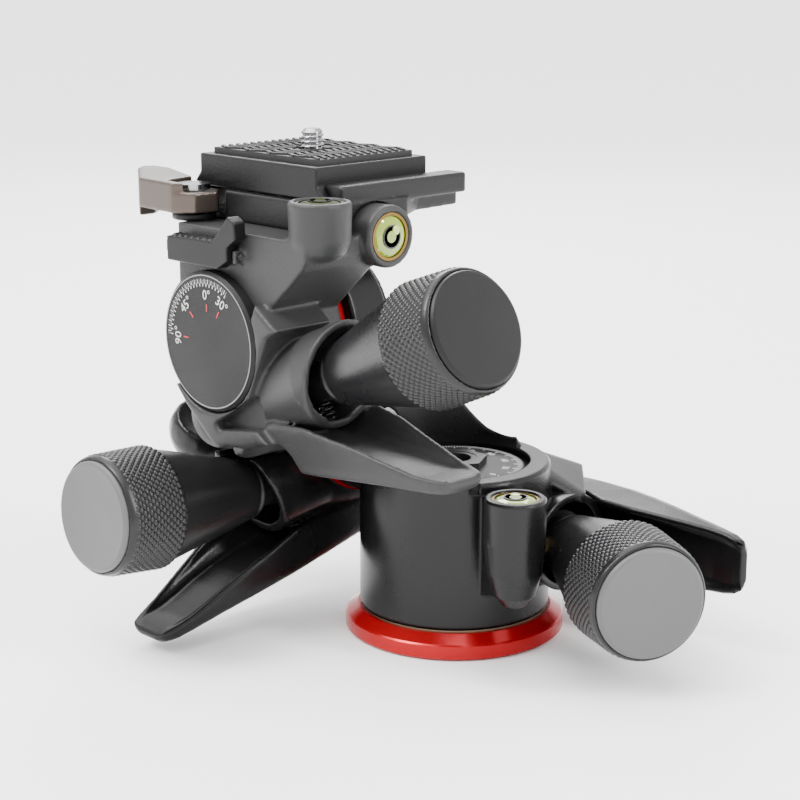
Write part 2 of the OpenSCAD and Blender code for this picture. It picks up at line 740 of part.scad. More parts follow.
neck_outline = [[-60, neck_top], [-60, 92], [-50, 84], [-28, 86], [-25, 88.4], [-9.7, 102.6], [-8, 105.4],
  [-8, neck_top]];
cradle_outline = [[-24.2, 92.5], [-16, 87], [-8.4, 91.3], [-20, 84.2], [-27.5, 67], [-24.2, 58.7],
  [-18.2, 54.8],
  [-40.2, 51.7], [-42.7, 51.9], [-53.8, 60.9], [-58.5, 66], [-44, 72], [-30, 80]];
side_cup = [-5, -19, 109.2];
top_cup = [-10.7, -38.7, 120];
catch_pivot = [-47.6, 104];
catch_pin_x = [-61.2, -31.6];
catch_pin_r = 1;
clamp_screw_places = [[-50, -26], [-26, -26]];
clamp_screw_r = 1.6;
clamp_screw_in = 6;

module lateral_housing() {
  wheel_room = wheel_w / 2 + GAP;
  tip_room = pitch_radius(lateral_teeth) + thread_add + GAP;
  color(GREY_CASTING) difference() {
    union() {
      at([lateral_x, 0, lateral_z]) along_y() rod(dial_y[1] + 0.4, lateral_ring_y[0], lateral_drum_r);
      lateral_drive() difference() {
        drive_tube(lateral_reach, lateral_pivot, lateral_tube_r);
        translate([0, 11.6, -30]) cube([50, 10, 60]);
      }
      lateral_drive() fin(lateral_reach, 1);
      front_plate(neck_outline, dial_y[1] + 0.4, lateral_ring_y[0]);
      front_plate(cradle_outline, dial_y[0], -30);
      top_cup_shell();
      side_cup_shell();
      catch_ears();
    }
    lateral_drive() tilt_passage();
    translate([-10, -27.8, 40]) cube([22, 5, 13.6]);
    clamp_screw_holes();
    at([catch_pin_x[0], catch_pivot[0], catch_pivot[1]]) along_x() rod(-1, 40, catch_pin_r);
    at([lateral_x, 0, lateral_z]) along_y() rod(dial_y[0] - 1, dial_y[1] + 0.4, dial_r + GAP);
    at([lateral_x, 0, lateral_z]) along_y() rod(dial_y[1], lateral_ring_y[0] + 1, lateral_axle_r + FIT);
    at([lateral_x, lateral_y, lateral_z]) along_y() rod(-wheel_room, wheel_room, tip_room);
    lateral_drive() drive_room(lateral_reach, lateral_pivot, lateral_turns, release_angle,
      lateral_spring_x);
    front_plate([[-25.9, 68.1], [-24.2, 58.9], [-40, 56.3], [-41, 58]], dial_y[0] - 1, dial_y[1] + 1);
    at(top_cup) rod(-5, 1, vial_r + 0.8);
    at(side_cup) along_x() rod(-5, 1, vial_r + 0.8);
  }
}

// Space that the front tilt's knob and tube take under the lateral housing when that is tilted all the
// way down
module tilt_passage() {
  passage(30.9, 11, [8.4, -22.9], 11.2, 90, -16, -8);
  passage(32.6, 24, [8.45, -23.3], 14, 60, -8.1, 11);
}

// Arc of radius r about the lateral axis up to this angle, then an arc of radius q about the point p,
// from this angle
module passage(r, last, p, q, from, y1, y2) {
  cd = centre_distance(lateral_teeth);
  first = -80;
  translate([0, y2, 0]) rotate([90, 0, 0]) linear_extrude(y2 - y1) polygon(concat(
    [for (i = [0 : 26]) let (a = first + (last - first) * i / 26) [r * sin(a), cd - r * cos(a)]],
    [for (a = [from : -10 : 0]) [p[0] + q * cos(a), p[1] + q * sin(a)]],
    [[p[0] + q, -60], [-60, -60], [-60, 10]]));
}

// Ears that hold the safety catch's pin
module catch_ears() {
  for (x = [catch_pin_x[0], catch_pin_x[1] - 1.8])
    translate([x, catch_pivot[0] - 1.9, catch_pivot[1] - 1.9]) cube([1.8, 4, 3.8]);
}

module clamp_screw_holes() {
  for (p = clamp_screw_places)
    at([p[0], p[1], 0]) rod(neck_top - clamp_screw_in, seat_z, clamp_screw_r);
}

// Outline in X-Z, from Y y1 to y2
module front_plate(outline, y1, y2) {
  translate([0, y2, 0]) rotate([90, 0, 0]) linear_extrude(y2 - y1) polygon(outline);
}

module top_cup_shell() {
  at(top_cup) rotate_extrude() polygon([[0, -15.5], [4, -15], [6.6, -13.4], [cup_r, -10.5],
    [cup_r + 0.3, -0.5],
    [cup_r - 0.2, 0], [0, 0]]);
}

module side_cup_shell() {
  at(side_cup) along_x() rotate_extrude() polygon([[0, -16], [cup_r, -16], [cup_r + 0.3, -0.5],
    [cup_r - 0.2, 0], [0, 0]]);
}

module lateral_ring() {
  color(RED) at([lateral_x, 0, lateral_z]) along_y() difference() {
    rod(lateral_ring_y[0], lateral_ring_y[1], lateral_ring_r);
    rod(lateral_ring_y[0] - 1, lateral_ring_y[1] + 1, lateral_axle_r + FIT);
  }
}

module top_level_vial() {
  color(LEVEL_GREEN) at(top_cup) level_vial();
}

module top_level_ring() {
  color(BRASS) at(top_cup) level_ring();
}

module side_level_vial() {
  color(LEVEL_GREEN) at(side_cup) along_x() level_vial();
}

module side_level_ring() {
  color(BRASS) at(side_cup) along_x() level_ring();
}

// Quick release

clamp_outline = [[-66, -33], [-62, -34.5], [-24, -34.5], [-12, -30], [-10.5, -8], [-15.6, 0.4],
  [-17, 17.5], [-28, 17.5], [-60, 9],
  [-66, 4]];
clamp_under = 113;        // underside of the clamp behind the neck
lever_pivot = [-62, -39];
lever_z = [112.4, 117.9];
lever_screw_r = 3;
feeler_place = [-44, 4];
feeler_floor = clamp_under + 1;
feeler_spring_len = 1.4;

module plate_profile(grow, low, high) {
  half = plate_w / 2 + grow;
  foot = half + dovetail;
  translate([plate_x, plate_y + plate_d / 2 + grow, 0]) rotate([90, 0,
    0]) linear_extrude(plate_d + 2 * grow)
    polygon([[-foot + 0.4, low], [foot - 0.4, low], [foot, low + 0.5], [foot, low + 1.2],
      [half, low + 3.6],
      [half, high], [-half, high], [-half, low + 3.6], [-foot, low + 1.2], [-foot, low + 0.5]]);
}

module clamp_body() {
  claw = plate_x + plate_w / 2;
  color(GREY_CASTING) difference() {
    union() {
      at([0, 0, neck_top]) linear_extrude(seat_z - neck_top) polygon(clamp_outline);
      translate([claw, -30, seat_z - 1]) cube([7, 46, 5.5]);
      translate([-66, -12, seat_z - 1]) cube([3, 18, 5.5]);
      at([lever_pivot[0], lever_pivot[1], neck_top]) rod(0, 2, 6);
      translate([lever_pivot[0] - 5, lever_pivot[1], neck_top]) cube([10, 8, 2]);
    }
    plate_profile(0.3, seat_z, seat_z + plate_h);
    translate([-80, -12, neck_top - 1]) cube([80, 40, clamp_under - neck_top + 1]);
    translate([claw - 0.8, plate_y - plate_d / 2 - 0.6, seat_z - 0.5]) cube([3.6, plate_d + 1.2, 2]);
    at([lever_pivot[0], lever_pivot[1], 0]) {
      rod(neck_top + 2, seat_z + 1, 9);
      rod(neck_top - 1, neck_top + 3, lever_screw_r);
    }
    at(top_cup) rod(-20, 5, cup_r + 0.5);
    at(side_cup) along_x() rod(-18, 5, cup_r + 0.5);
    clamp_screw_holes();
    for (p = clamp_screw_places)
      at([p[0], p[1], 0]) rod(seat_z - 3.5, seat_z + 1, 3);
    at([feeler_place[0], feeler_place[1], 0]) rod(feeler_floor, seat_z + 1, 1.6 + FIT);
  }
}

module clamp_screws() {
  color(STEEL) for (p = clamp_screw_places)
    at([p[0], p[1], 0]) difference() {
      union() {
        rod(neck_top - clamp_screw_in, seat_z - 3.5, clamp_screw_r);
        rod(seat_z - 3.5, seat_z - 0.7, 3);
      }
      rod(seat_z - 2.2, seat_z, 1.4, $fn = 6);
    }
}

module lock_lever() {
  color(BRONZE) at([0, 0, lever_z[0]]) difference() {
    linear_extrude(lever_z[1] - lever_z[0]) polygon([[-97, -30], [-94, -34], [-76, -47], [-60, -48],
      [-55, -44],
      [-54, -37], [-58, -33.4], [-68, -33.2], [-88, -27], [-95, -27]]);
    at(lever_pivot) rod(-1, 10, lever_screw_r + FIT);
  }
}

module lever_screw() {
  color(STEEL) at(lever_pivot) {
    rod(neck_top, lever_z[1] + 0.2, lever_screw_r);
    rod(lever_z[1] + 0.2, lever_z[1] + 1.8, 4.6);
  }
}

module safety_catch() {
  color(SATIN_BLACK) difference() {
    translate([0, catch_pivot[0] + 0.5, 0]) rotate([90, 0, 0]) linear_extrude(3.8)
      polygon([[-59, 100.4], [-38, 100.4], [-33.6, 103], [-33.6, 106.5], [-30, 109], [-30.4, 113.4],
        [-33, 114.7],
        [-39.5, 107.6], [-59, 107]]);
    at([-70, catch_pivot[0], catch_pivot[1]]) along_x() rod(0, 60, catch_pin_r + FIT);
  }
}

module catch_pin() {
  color(STEEL) at([catch_pin_x[0], catch_pivot[0], catch_pivot[1]]) along_x() rod(0,
    catch_pin_x[1] - catch_pin_x[0],
    catch_pin_r);
}

module plate_base() {
  color(GREY_CASTING) difference() {
    plate_profile(0, seat_z + 0.3, seat_z + plate_h);
    at([plate_x, plate_y, 0]) rod(seat_z - 1, seat_z + plate_h + 1, screw_major_r - screw_relief + FIT);
    at([plate_x, plate_y, 0]) rod(seat_z - 1, seat_z + 3.5, 9);
  }
}

module rubber_pad() {
  color(RUBBER) difference() {
    translate([plate_x - plate_w / 2 + 2.5, plate_y - plate_d / 2 + 3, seat_z + plate_h])
      cube([plate_w - 5, plate_d - 6, pad_h]);
    at([plate_x, plate_y, 0]) rod(seat_z, seat_z + plate_h + 5, screw_major_r + 0.8);
  }
}

module camera_screw() {
  top = seat_z + plate_h + pad_h + screw_rise;
  color(STEEL) at([plate_x, plate_y, 0]) difference() {
    union() {
      rod(seat_z + 2, seat_z + plate_h + pad_h, screw_major_r - screw_relief);
      rod(seat_z + plate_h + pad_h, top - 0.6, screw_major_r);
      cone(top - 0.6, screw_major_r, top, screw_major_r - 0.6);
      rod(seat_z + 0.8, seat_z + 3.4, 7.5);
    }
    translate([-8, -0.8, seat_z]) cube([16, 1.6, 1.6]);
  }
}

module screw_ring() {
  color(STEEL) at([plate_x, plate_y, seat_z + 0.35]) difference() {
    rod(0, 0.45, 7);
    rod(-1, 1, 5.6);
  }
}

module plate_feeler() {
  color(STEEL) at([feeler_place[0], feeler_place[1], 0]) rod(feeler_floor + feeler_spring_len, seat_z,
    1.6);
}

module feeler_spring() {
  color(STEEL) at([feeler_place[0], feeler_place[1], 0]) rod(feeler_floor,
    feeler_floor + feeler_spring_len, 1.2);
}

// Drives

module pan_carrier() {
  color(STEEL) pan_drive() carrier(pan_reach - knob_len, pan_teeth, pan_turns, pan_pivot);
}

module pan_carrier_pin() {
  color(STEEL) pan_drive() carrier_pin(pan_pivot);
}

module pan_spring() {
  color(STEEL) pan_drive() carrier_spring(pan_spring_x);
}

module pan_worm() {
  color(STEEL) pan_drive() worm(pan_reach - knob_len, pan_turns, pan_pivot);
}

module pan_knob() {
  color(SATIN_BLACK) pan_drive() knob(pan_reach - knob_len);
}

module pan_knob_cap() {
  color(SOFT_GREY) pan_drive() knob_cap(pan_reach - knob_len);
}

module tilt_carrier() {
  color(STEEL) tilt_drive() carrier(tilt_reach - knob_len, tilt_teeth, tilt_turns, tilt_pivot);
}

module tilt_carrier_pin() {
  color(STEEL) tilt_drive() carrier_pin(tilt_pivot);
}

module tilt_spring() {
  color(STEEL) tilt_drive() carrier_spring(tilt_spring_x);
}

module tilt_worm() {
  color(STEEL) tilt_drive() worm(tilt_reach - knob_len, tilt_turns, tilt_pivot);
}

module tilt_knob() {
  color(SATIN_BLACK) tilt_drive() knob(tilt_reach - knob_len);
}

module tilt_knob_cap() {
  color(SOFT_GREY) tilt_drive() knob_cap(tilt_reach - knob_len);
}

module lateral_carrier() {
  color(STEEL) lateral_drive() carrier(lateral_reach - knob_len, lateral_teeth, lateral_turns,
    lateral_pivot);
}

module lateral_carrier_pin() {
  color(STEEL) lateral_drive() carrier_pin(lateral_pivot);
}

module lateral_spring() {
  color(STEEL) lateral_drive() carrier_spring(lateral_spring_x);
}

module lateral_worm() {
  color(STEEL) lateral_drive() worm(lateral_reach - knob_len, lateral_turns, lateral_pivot);
}

module lateral_knob() {
  color(SATIN_BLACK) lateral_drive() knob(lateral_reach - knob_len);
}

module lateral_knob_cap() {
  color(SOFT_GREY) lateral_drive() knob_cap(lateral_reach - knob_len);
}

base_flange();
thread_bush();
base_screws();
pan_axle();
pan_wheel();
slide_ring();
pan_scale();
pan_lock_nut();
pan_housing();
pan_bush();
pan_level_vial();
pan_level_ring();
tilt_axle();
tilt_wheel();
pan_carrier();
pan_carrier_pin();
pan_spring();
pan_worm();
pan_knob();
pan_knob_cap();
tilt_housing();
tilt_ring();
tilt_end_cap();
lateral_axle();
lateral_wheel();
lateral_dial();
tilt_carrier();
tilt_carrier_pin();
tilt_spring();
tilt_worm();
tilt_knob();
tilt_knob_cap();
lateral_housing();
lateral_ring();
clamp_body();
clamp_screws();
top_level_vial();
top_level_ring();
side_level_vial();
side_level_ring();
lateral_carrier();
lateral_carrier_pin();
lateral_spring();
lateral_worm();
lateral_knob();
lateral_knob_cap();
lock_lever();
lever_screw();
safety_catch();
catch_pin();
plate_base();
rubber_pad();
camera_screw();
screw_ring();
plate_feeler();
feeler_spring();
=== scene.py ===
"""Visual model of a geared tripod head, laid out as an add-on and run as a script."""
import math

import bmesh
import bpy
from mathutils import Matrix, Vector
from mathutils.bvhtree import BVHTree


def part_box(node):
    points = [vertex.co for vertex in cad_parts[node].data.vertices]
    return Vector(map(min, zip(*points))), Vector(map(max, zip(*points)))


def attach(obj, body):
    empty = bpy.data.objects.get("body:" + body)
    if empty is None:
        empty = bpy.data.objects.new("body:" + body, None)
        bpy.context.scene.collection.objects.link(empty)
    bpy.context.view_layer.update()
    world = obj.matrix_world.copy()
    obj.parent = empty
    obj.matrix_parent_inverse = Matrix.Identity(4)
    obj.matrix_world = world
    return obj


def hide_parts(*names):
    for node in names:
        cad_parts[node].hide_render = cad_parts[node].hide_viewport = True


bl_info = {
    "name": "Geared Tripod Head",
    "version": (1, 0, 0),
    "blender": (4, 5, 0),
    "location": "View3D > Sidebar > Tripod Head",
    "description": "Builds the castings, knobs, dials and quick release of a geared tripod head",
    "category": "Object",
}

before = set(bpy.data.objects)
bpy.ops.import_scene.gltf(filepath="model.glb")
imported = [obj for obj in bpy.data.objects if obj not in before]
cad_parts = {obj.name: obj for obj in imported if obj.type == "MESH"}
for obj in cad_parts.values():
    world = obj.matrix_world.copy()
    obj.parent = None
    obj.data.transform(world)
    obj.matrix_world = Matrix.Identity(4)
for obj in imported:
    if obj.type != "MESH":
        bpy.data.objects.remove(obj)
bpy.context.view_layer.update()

# Lengths are in millimetres in the CAD's frame, apart from the stage, which is in metres.
MM = 0.001
TO_METRES = Matrix.Scale(MM, 4)
X_TO_Z = Matrix.Rotation(-math.pi / 2, 4, "Y")

MOST_TRIANGLES = 170000     # a softened piece is thinned to this many
CLAMP_GRAIN = 0.75          # the clamp's voxel, as a share of the castings'
MERGE_METRES = 2e-6         # corners of a CAD mesh nearer than this are one
MERGE = 1e-5
FINE_PASSES = 3             # smoothing passes of a small part
LEVER_PASSES = 12

# Worm drives: foot of the knob's axis, direction towards the knob, and an axis across it.
DRIVES = {
    "pan": ((12.209, 24.976, 25.0), (0.89841, -0.43916, 0), (0, 0, 1)),
    "tilt": ((-41.0, -8.998, 35.689), (0, -0.99813, 0.06105), (1, 0, 0)),
    "lateral": ((-36.55, -37.0, 62.712), (0.92784, 0, 0.37299), (0, 1, 0)),
}
KNOB_NECK = {"pan": 15.4, "tilt": 30.0, "lateral": 34.5}    # from the foot to the knob's neck

# Grip of a knob: the domes start this far from the neck.
GRIP_START = 34.1
GRIP_LENGTH = 14.6
GRIP_INNER_RADIUS = 16.12
GRIP_OUTER_RADIUS = 15.55
GRIP_BAND = 15.0            # the band that the rows share out
DOME_SHARE = 0.86           # radius of a dome, as a share of a row
DOME_SEGMENTS = 8
DOME_RINGS = 5

# Print on the dial and the pan scale. Ticks are given as name, count, step in degrees, length
# and width, and numbers with their angle in degrees.
TICK_HEIGHT = 0.08
NUMBER_THICK = 0.03
DIAL_CENTRE = (-43.5, -50.0, 80.0)
DIAL_LIFT = 0.03
DIAL_START = 60              # degrees, where the ticks begin
DIAL_TICK_RADIUS = 16.9
DIAL_TICKS = (("dial_fine", 49, 2.5, 1.2, 0.20), ("dial_long", 25, 5, 2.0, 0.26))
DIAL_NUMBERS = (("0", 90), ("30", 60), ("45", 135), ("90", 180))
DIAL_NUMBER_RADIUS = 12.5
DIAL_NUMBER_SIZE = 3.7
RED_MARK_RADIUS = 10.2
RED_MARK_SIZE = (2.0, 0.34)
RIM_SECTION = ((17.75, -0.03), (17.75, 0.05), (18.05, 0.05), (18.05, -0.03))    # radius, height
RIM_STEPS = 96
INDEX_RADIUS = 21.2         # outer end of the index mark
INDEX_MIDDLE = 20.4         # where the ring's face is looked for, above the dial's centre
INDEX_SIZE = (1.7, 0.5)
INDEX_VIEW_Y = -90.0        # in front of the ring
PAN_TICK_RADIUS = 18.3
PAN_TICKS = (("scale_fine", 144, 2.5, 1.3, 0.2), ("scale_long", 24, 15, 2.3, 0.3))
PAN_LIFT = 0.02
PAN_NUMBER_RADIUS = 14.0
PAN_NUMBER_SIZE = 2.7
PAN_NUMBER_STEP = 30

# Rubber pad.
PAD_COLUMNS = 9
PAD_RIM = 1.0               # what the columns leave free across the pad
PAD_SIDE_MARGIN = 0.6
PAD_END_MARGIN = 3.2
PAD_RIB_REACH = 1.06        # length of a rib, as a share of its column
PAD_RIB_SHARE = 0.42        # width of a rib, as a share of the pitch
PAD_RIB_HEIGHT = 0.7
PAD_RIB_LIFT = 0.12         # middle of a rib above the pad's face
PAD_CLEAR_RADIUS = 5.2
PAD_SLANT = math.radians(28)

# Camera screw. Edges past these angles stay sharp, in degrees.
SCREW_SHARP = 35
LEVEL_SHARP = 40
PLATE_CENTRE = (-43.0, -12.5)
THREAD_BOTTOM = 120.0
SCREW_TOP = 134.0
THREAD_STEPS = 40
THREAD_ROWS_A_TURN = 8
THREAD_ROOT = 2.55
THREAD_DEPTH = 0.6
THREAD_FLANK = 2.4          # how steeply the crest rises from the root
THREAD_FLAT = 0.1
TIP_LENGTH = 1.0
TIP_RADIUS = 2.1
HEAD_SECTION = ((118.9, 0.01), (118.9, 7.2), (119.2, 7.5), (121.1, 7.5), (121.4, 7.2), (121.4, 0.01))

# Bubble levels: body, and the axis that the vial looks along.
LEVELS = {
    "pan_level": ("pan_body", 2),
    "top_level": ("lateral_body", 2),
    "side_level": ("lateral_body", 0),
}
CIRCLE_SECTION = ((-0.05, 2.75), (0.07, 2.75), (0.07, 3.1), (-0.05, 3.1))
BUBBLE_SECTION = ((-0.05, 1.75), (0.12, 1.6), (0.22, 1.2), (0.26, 0.6), (0.27, 0.02))
BUBBLE_OFF_CENTRE = 1.6
BUBBLE_SCALE = 0.75

# Wing of the lock lever, as prisms: plan outline, underside and top.
LEVER_WING = (
    (((-97, -30), (-94, -34), (-76, -47), (-60, -48), (-58, -45.5), (-67, -44), (-69, -34),
      (-88, -27), (-95, -27)), 112.6, 120.6),
    (((-97, -30), (-94, -34), (-78, -45.5), (-78, -40), (-88, -27.4), (-95, -27.4)), 109.6, 120.6),
)

# Ribs across the safety catch.
CATCH_RIBS = 7
CATCH_RIB_FIRST_X = -57.0
CATCH_RIB_PITCH = 2.5
CATCH_RIB_WIDTH = 1.0
CATCH_RIB_Y = (-50.4, -47.4)
CATCH_RIB_Z = (105.0, 107.9)

# Stage, in metres.
FLOOR_HALF = 90.0
FLOOR_Z = -0.0002
WORLD_STRENGTH = 1.9
LIGHT_TARGET = (-0.01, -0.01, 0.065)
AREA_LIGHTS = (             # name, place, sizes, watts
    ("key", (-0.25, -0.50, 0.75), (0.22, 0.45), 8.0),
    ("strip", (0.75, 0.25, 0.55), (0.08, 0.60), 9.0),
    ("back", (-0.60, 0.55, 0.60), (0.5, 0.3), 6.0),
)
SKY_STRENGTH = 4.2
SKY_SPREAD = 70             # degrees
SKY_TURN = (12, -14, 0)
CAMERA_PLACE = (0.3475, -0.3564, 0.1873)
CAMERA_TURN = (76, 0, 46)
CAMERA_LENS = 85.5
CAMERA_SENSOR = 36.0
CAMERA_NEAR = 0.01


class HeadSizes(bpy.types.PropertyGroup):
    """Sizes of the added detail, in millimetres unless a unit is named."""

    casting_voxel: bpy.props.FloatProperty(
        name="Casting voxel", default=0.55, min=0.4, max=2.0,
        description="Grain of the mesh of the castings, mm")
    small_voxel: bpy.props.FloatProperty(
        name="Small part voxel", default=0.33, min=0.25, max=1.0,
        description="Grain of the mesh of the lever, catch, plate and knobs, mm")
    edge_rounding: bpy.props.IntProperty(
        name="Edge rounding", default=8, min=0, max=20,
        description="Smoothing passes that round the cast edges")
    knurl_rows: bpy.props.IntProperty(
        name="Knurl rows", default=15, min=6, max=24,
        description="Rows of domes along the grip of a knob")
    knurl_columns: bpy.props.IntProperty(
        name="Knurl columns", default=54, min=24, max=80,
        description="Domes round the grip of a knob")
    dome_height: bpy.props.FloatProperty(
        name="Dome height", default=0.42, min=0.1, max=0.8,
        description="How far a dome stands out of the grip, mm")
    rib_pitch: bpy.props.FloatProperty(
        name="Pad rib pitch", default=2.3, min=1.2, max=5.0,
        description="Distance between the ribs of the rubber pad, mm")
    thread_pitch: bpy.props.FloatProperty(
        name="Thread pitch", default=1.27, min=0.8, max=2.0,
        description="Pitch of the camera screw's thread, mm")


class HeadColours(bpy.types.PropertyGroup):
    """Base colours of the finishes."""

    black: bpy.props.FloatVectorProperty(
        name="Black paint", subtype="COLOR", size=3, default=(0.0045, 0.0045, 0.0048),
        description="Semi-gloss paint of the pan and tilt housings")
    grey: bpy.props.FloatVectorProperty(
        name="Grey paint", subtype="COLOR", size=3, default=(0.026, 0.026, 0.0265),
        description="Textured paint of the upper casting")
    red: bpy.props.FloatVectorProperty(
        name="Red anodising", subtype="COLOR", size=3, default=(0.36, 0.002, 0.005),
        description="Base flange and slide rings")
    bronze: bpy.props.FloatVectorProperty(
        name="Lever bronze", subtype="COLOR", size=3, default=(0.085, 0.066, 0.056),
        description="Satin finish of the lock lever")
    cap_grey: bpy.props.FloatVectorProperty(
        name="Knob cap grey", subtype="COLOR", size=3, default=(0.070, 0.070, 0.072),
        description="Soft caps of the pan and tilt knobs")
    cap_black: bpy.props.FloatVectorProperty(
        name="Knob cap black", subtype="COLOR", size=3, default=(0.006, 0.006, 0.0065),
        description="Soft cap of the lateral knob")
    liquid: bpy.props.FloatVectorProperty(
        name="Level liquid", subtype="COLOR", size=3, default=(0.22, 0.31, 0.008),
        description="Liquid of the bubble levels")


def sizes():
    return bpy.context.scene.head_sizes


def colours():
    return bpy.context.scene.head_colours


class Wires:
    """Adds nodes to a tree. An input is given a plain value, or the socket that feeds it."""

    def __init__(self, tree):
        self.tree = tree

    def add(self, kind, inputs=None, **settings):
        made = self.tree.nodes.new(kind)
        for key, value in settings.items():
            setattr(made, key, value)
        self.feed(made, inputs or {})
        return made

    def feed(self, node, inputs):
        for key, value in inputs.items():
            if isinstance(value, bpy.types.NodeSocket):
                self.tree.links.new(value, node.inputs[key])
            else:
                node.inputs[key].default_value = value

    def maths(self, operation, *terms):
        return self.add("ShaderNodeMath", dict(enumerate(terms)), operation=operation).outputs[0]

    def vector(self, x=0.0, y=0.0, z=0.0):
        return self.add("ShaderNodeCombineXYZ", {0: x, 1: y, 2: z}).outputs[0]


# ---------------------------------------------------------------- finishes

# Shaders read metres, so depths are in metres and scales are per metre.
BLOTCH_SCALE = 38.0
BLOTCH_DETAIL = 5.0
SHEEN_RANGE = (0.3, 0.7)            # of the blotches' noise
LEAST_ROUGHNESS = 0.02
EDGE_RANGE = (0.53, 0.64)           # pointiness of a rubbed edge
GRAIN_DEPTH = 0.0004
GRAIN_DETAIL = 4.0
LATHE_DEPTH = 0.0002                # of the rings that a lathe leaves
LATHE_STRENGTH = 0.06
LATHE_SCALE = 130.0
LATHE_WOBBLE = 1.5
EDGE_SAMPLES = 6


def turned(base, rough):
    """Settings of a metal with the fine rings that a lathe leaves."""
    return {"base": base, "rough": rough, "metal": 1.0, "grain": 1600, "bump": 0.02,
            "blotch": 0.06, "lathe_rings": True}


# A base is a colour, or the name of one of the colours that a user can change.
FINISHES = {
    "black_paint": dict(base="black", rough=0.26, grain=1500, bump=0.10, spread=0.07,
                        specular=0.22, wear=0.12, wear_colour=(0.05, 0.046, 0.042)),
    "black_edges": dict(base="black", rough=0.26, grain=1500, bump=0.10, spread=0.07,
                        specular=0.24, round_edges=1.1),
    "grey_paint": dict(base="grey", rough=0.42, grain=2200, bump=0.30, spread=0.06,
                       specular=0.25, wear=0.25, wear_colour=(0.13, 0.125, 0.12)),
    "clamp_paint": dict(base=(0.009, 0.009, 0.0095), rough=0.40, grain=2200, bump=0.25,
                        specular=0.22, wear=0.25, wear_colour=(0.11, 0.105, 0.10)),
    "satin_black": dict(base=(0.006, 0.006, 0.0065), rough=0.38, grain=2200, bump=0.15,
                        specular=0.22, wear=0.2, wear_colour=(0.07, 0.07, 0.07)),
    "bronze": dict(base="bronze", rough=0.36, metal=0.65, grain=2200, bump=0.12, blotch=0.10,
                   wear=0.35, wear_colour=(0.26, 0.22, 0.19)),
    "red_anodised": dict(base="red", rough=0.20, metal=0.45, grain=1800, bump=0.03, spread=0.05,
                         blotch=0.06, specular=0.25, coat=0.12, coat_rough=0.08),
    "knob_moulding": dict(base=(0.008, 0.008, 0.0085), rough=0.30, grain=1800, bump=0.06,
                          spread=0.05, specular=0.28),
    "knurl": dict(base=(0.009, 0.009, 0.0095), rough=0.30, grain=1800, bump=0.08, specular=0.35),
    "cap_grey": dict(base="cap_grey", rough=0.52, grain=2600, bump=0.12, blotch=0.05),
    "cap_black": dict(base="cap_black", rough=0.45, grain=2600, bump=0.12, blotch=0.05,
                      specular=0.2),
    "rubber": dict(base=(0.014, 0.014, 0.0145), rough=0.62, grain=1400, bump=0.20, blotch=0.15,
                   specular=0.35),
    "dial_face": dict(base=(0.014, 0.014, 0.0145), rough=0.45, metal=0.15, grain=3200,
                      bump=0.30, blotch=0.10, specular=0.2),
    "scale_grey": dict(base=(0.022, 0.022, 0.0225), rough=0.5, metal=0.2, grain=3000, bump=0.25,
                       specular=0.18),
    "white_print": dict(base=(0.50, 0.50, 0.49), rough=0.55, grain=2600, bump=0.04, blotch=0.05),
    "red_print": dict(base=(0.50, 0.02, 0.02), rough=0.55, grain=2600, bump=0.04, blotch=0.05),
    "rim_grey": dict(base=(0.20, 0.20, 0.20), metal=0.4, grain=2600, bump=0.04),
    "ring_print": dict(base=(0.015, 0.016, 0.012), rough=0.3, bump=0.02),
    "liquid": dict(base="liquid", rough=0.10, bump=0.0, blotch=0.08, coat=1.0, coat_rough=0.03),
    # Darker green of the top level's liquid and bubble: painted shade of the deep cup they sit in.
    "liquid_in_painted_shade": dict(base=(0.020, 0.024, 0.004), rough=0.6, bump=0.0, blotch=0.08,
                        specular=0.1),
    "bubble": dict(base=(0.42, 0.52, 0.10), rough=0.08, bump=0.0, blotch=0.04, coat=1.0,
                   coat_rough=0.03),
    "steel": turned((0.36, 0.36, 0.37), 0.24),
    "brass": turned((0.62, 0.45, 0.18), 0.25),
    "brass_rim": turned((0.16, 0.10, 0.03), 0.3),
    "bronze_ring": turned((0.16, 0.12, 0.08), 0.35),
    "floor_white": dict(base=(0.93, 0.93, 0.93), rough=0.9, bump=0.0, blotch=0.004),
}

# CAD nodes by finish. The rest are steel.
NODE_FINISH = {
    "red_anodised": ("base_flange", "tilt_ring", "lateral_ring"),
    "bronze_ring": ("slide_ring",),
    "scale_grey": ("pan_scale",),
    "dial_face": ("lateral_dial",),
    "black_paint": ("tilt_housing", "tilt_end_cap"),
    "black_edges": ("pan_housing",),
    "grey_paint": ("lateral_housing",),
    "clamp_paint": ("clamp_body",),
    # The top level's ring is satin black as painted shade of its deep cup; the rings of the other
    # levels are brass.
    "satin_black": ("top_level_ring", "pan_lock_nut", "pan_axle", "safety_catch", "plate_base",
                    "pan_carrier", "tilt_carrier", "lateral_carrier"),
    "bronze": ("lock_lever",),
    "rubber": ("rubber_pad",),
    "knob_moulding": ("pan_knob", "tilt_knob", "lateral_knob"),
    "cap_grey": ("pan_knob_cap", "tilt_knob_cap"),
    "cap_black": ("lateral_knob_cap",),
    "liquid": ("pan_level_vial", "side_level_vial"),
    # The top level's vial is darkened as painted shade of its deep cup.
    "liquid_in_painted_shade": ("top_level_vial",),
    "brass": ("pan_wheel", "tilt_wheel", "lateral_wheel", "pan_bush"),
    "brass_rim": ("pan_level_ring", "side_level_ring"),
}


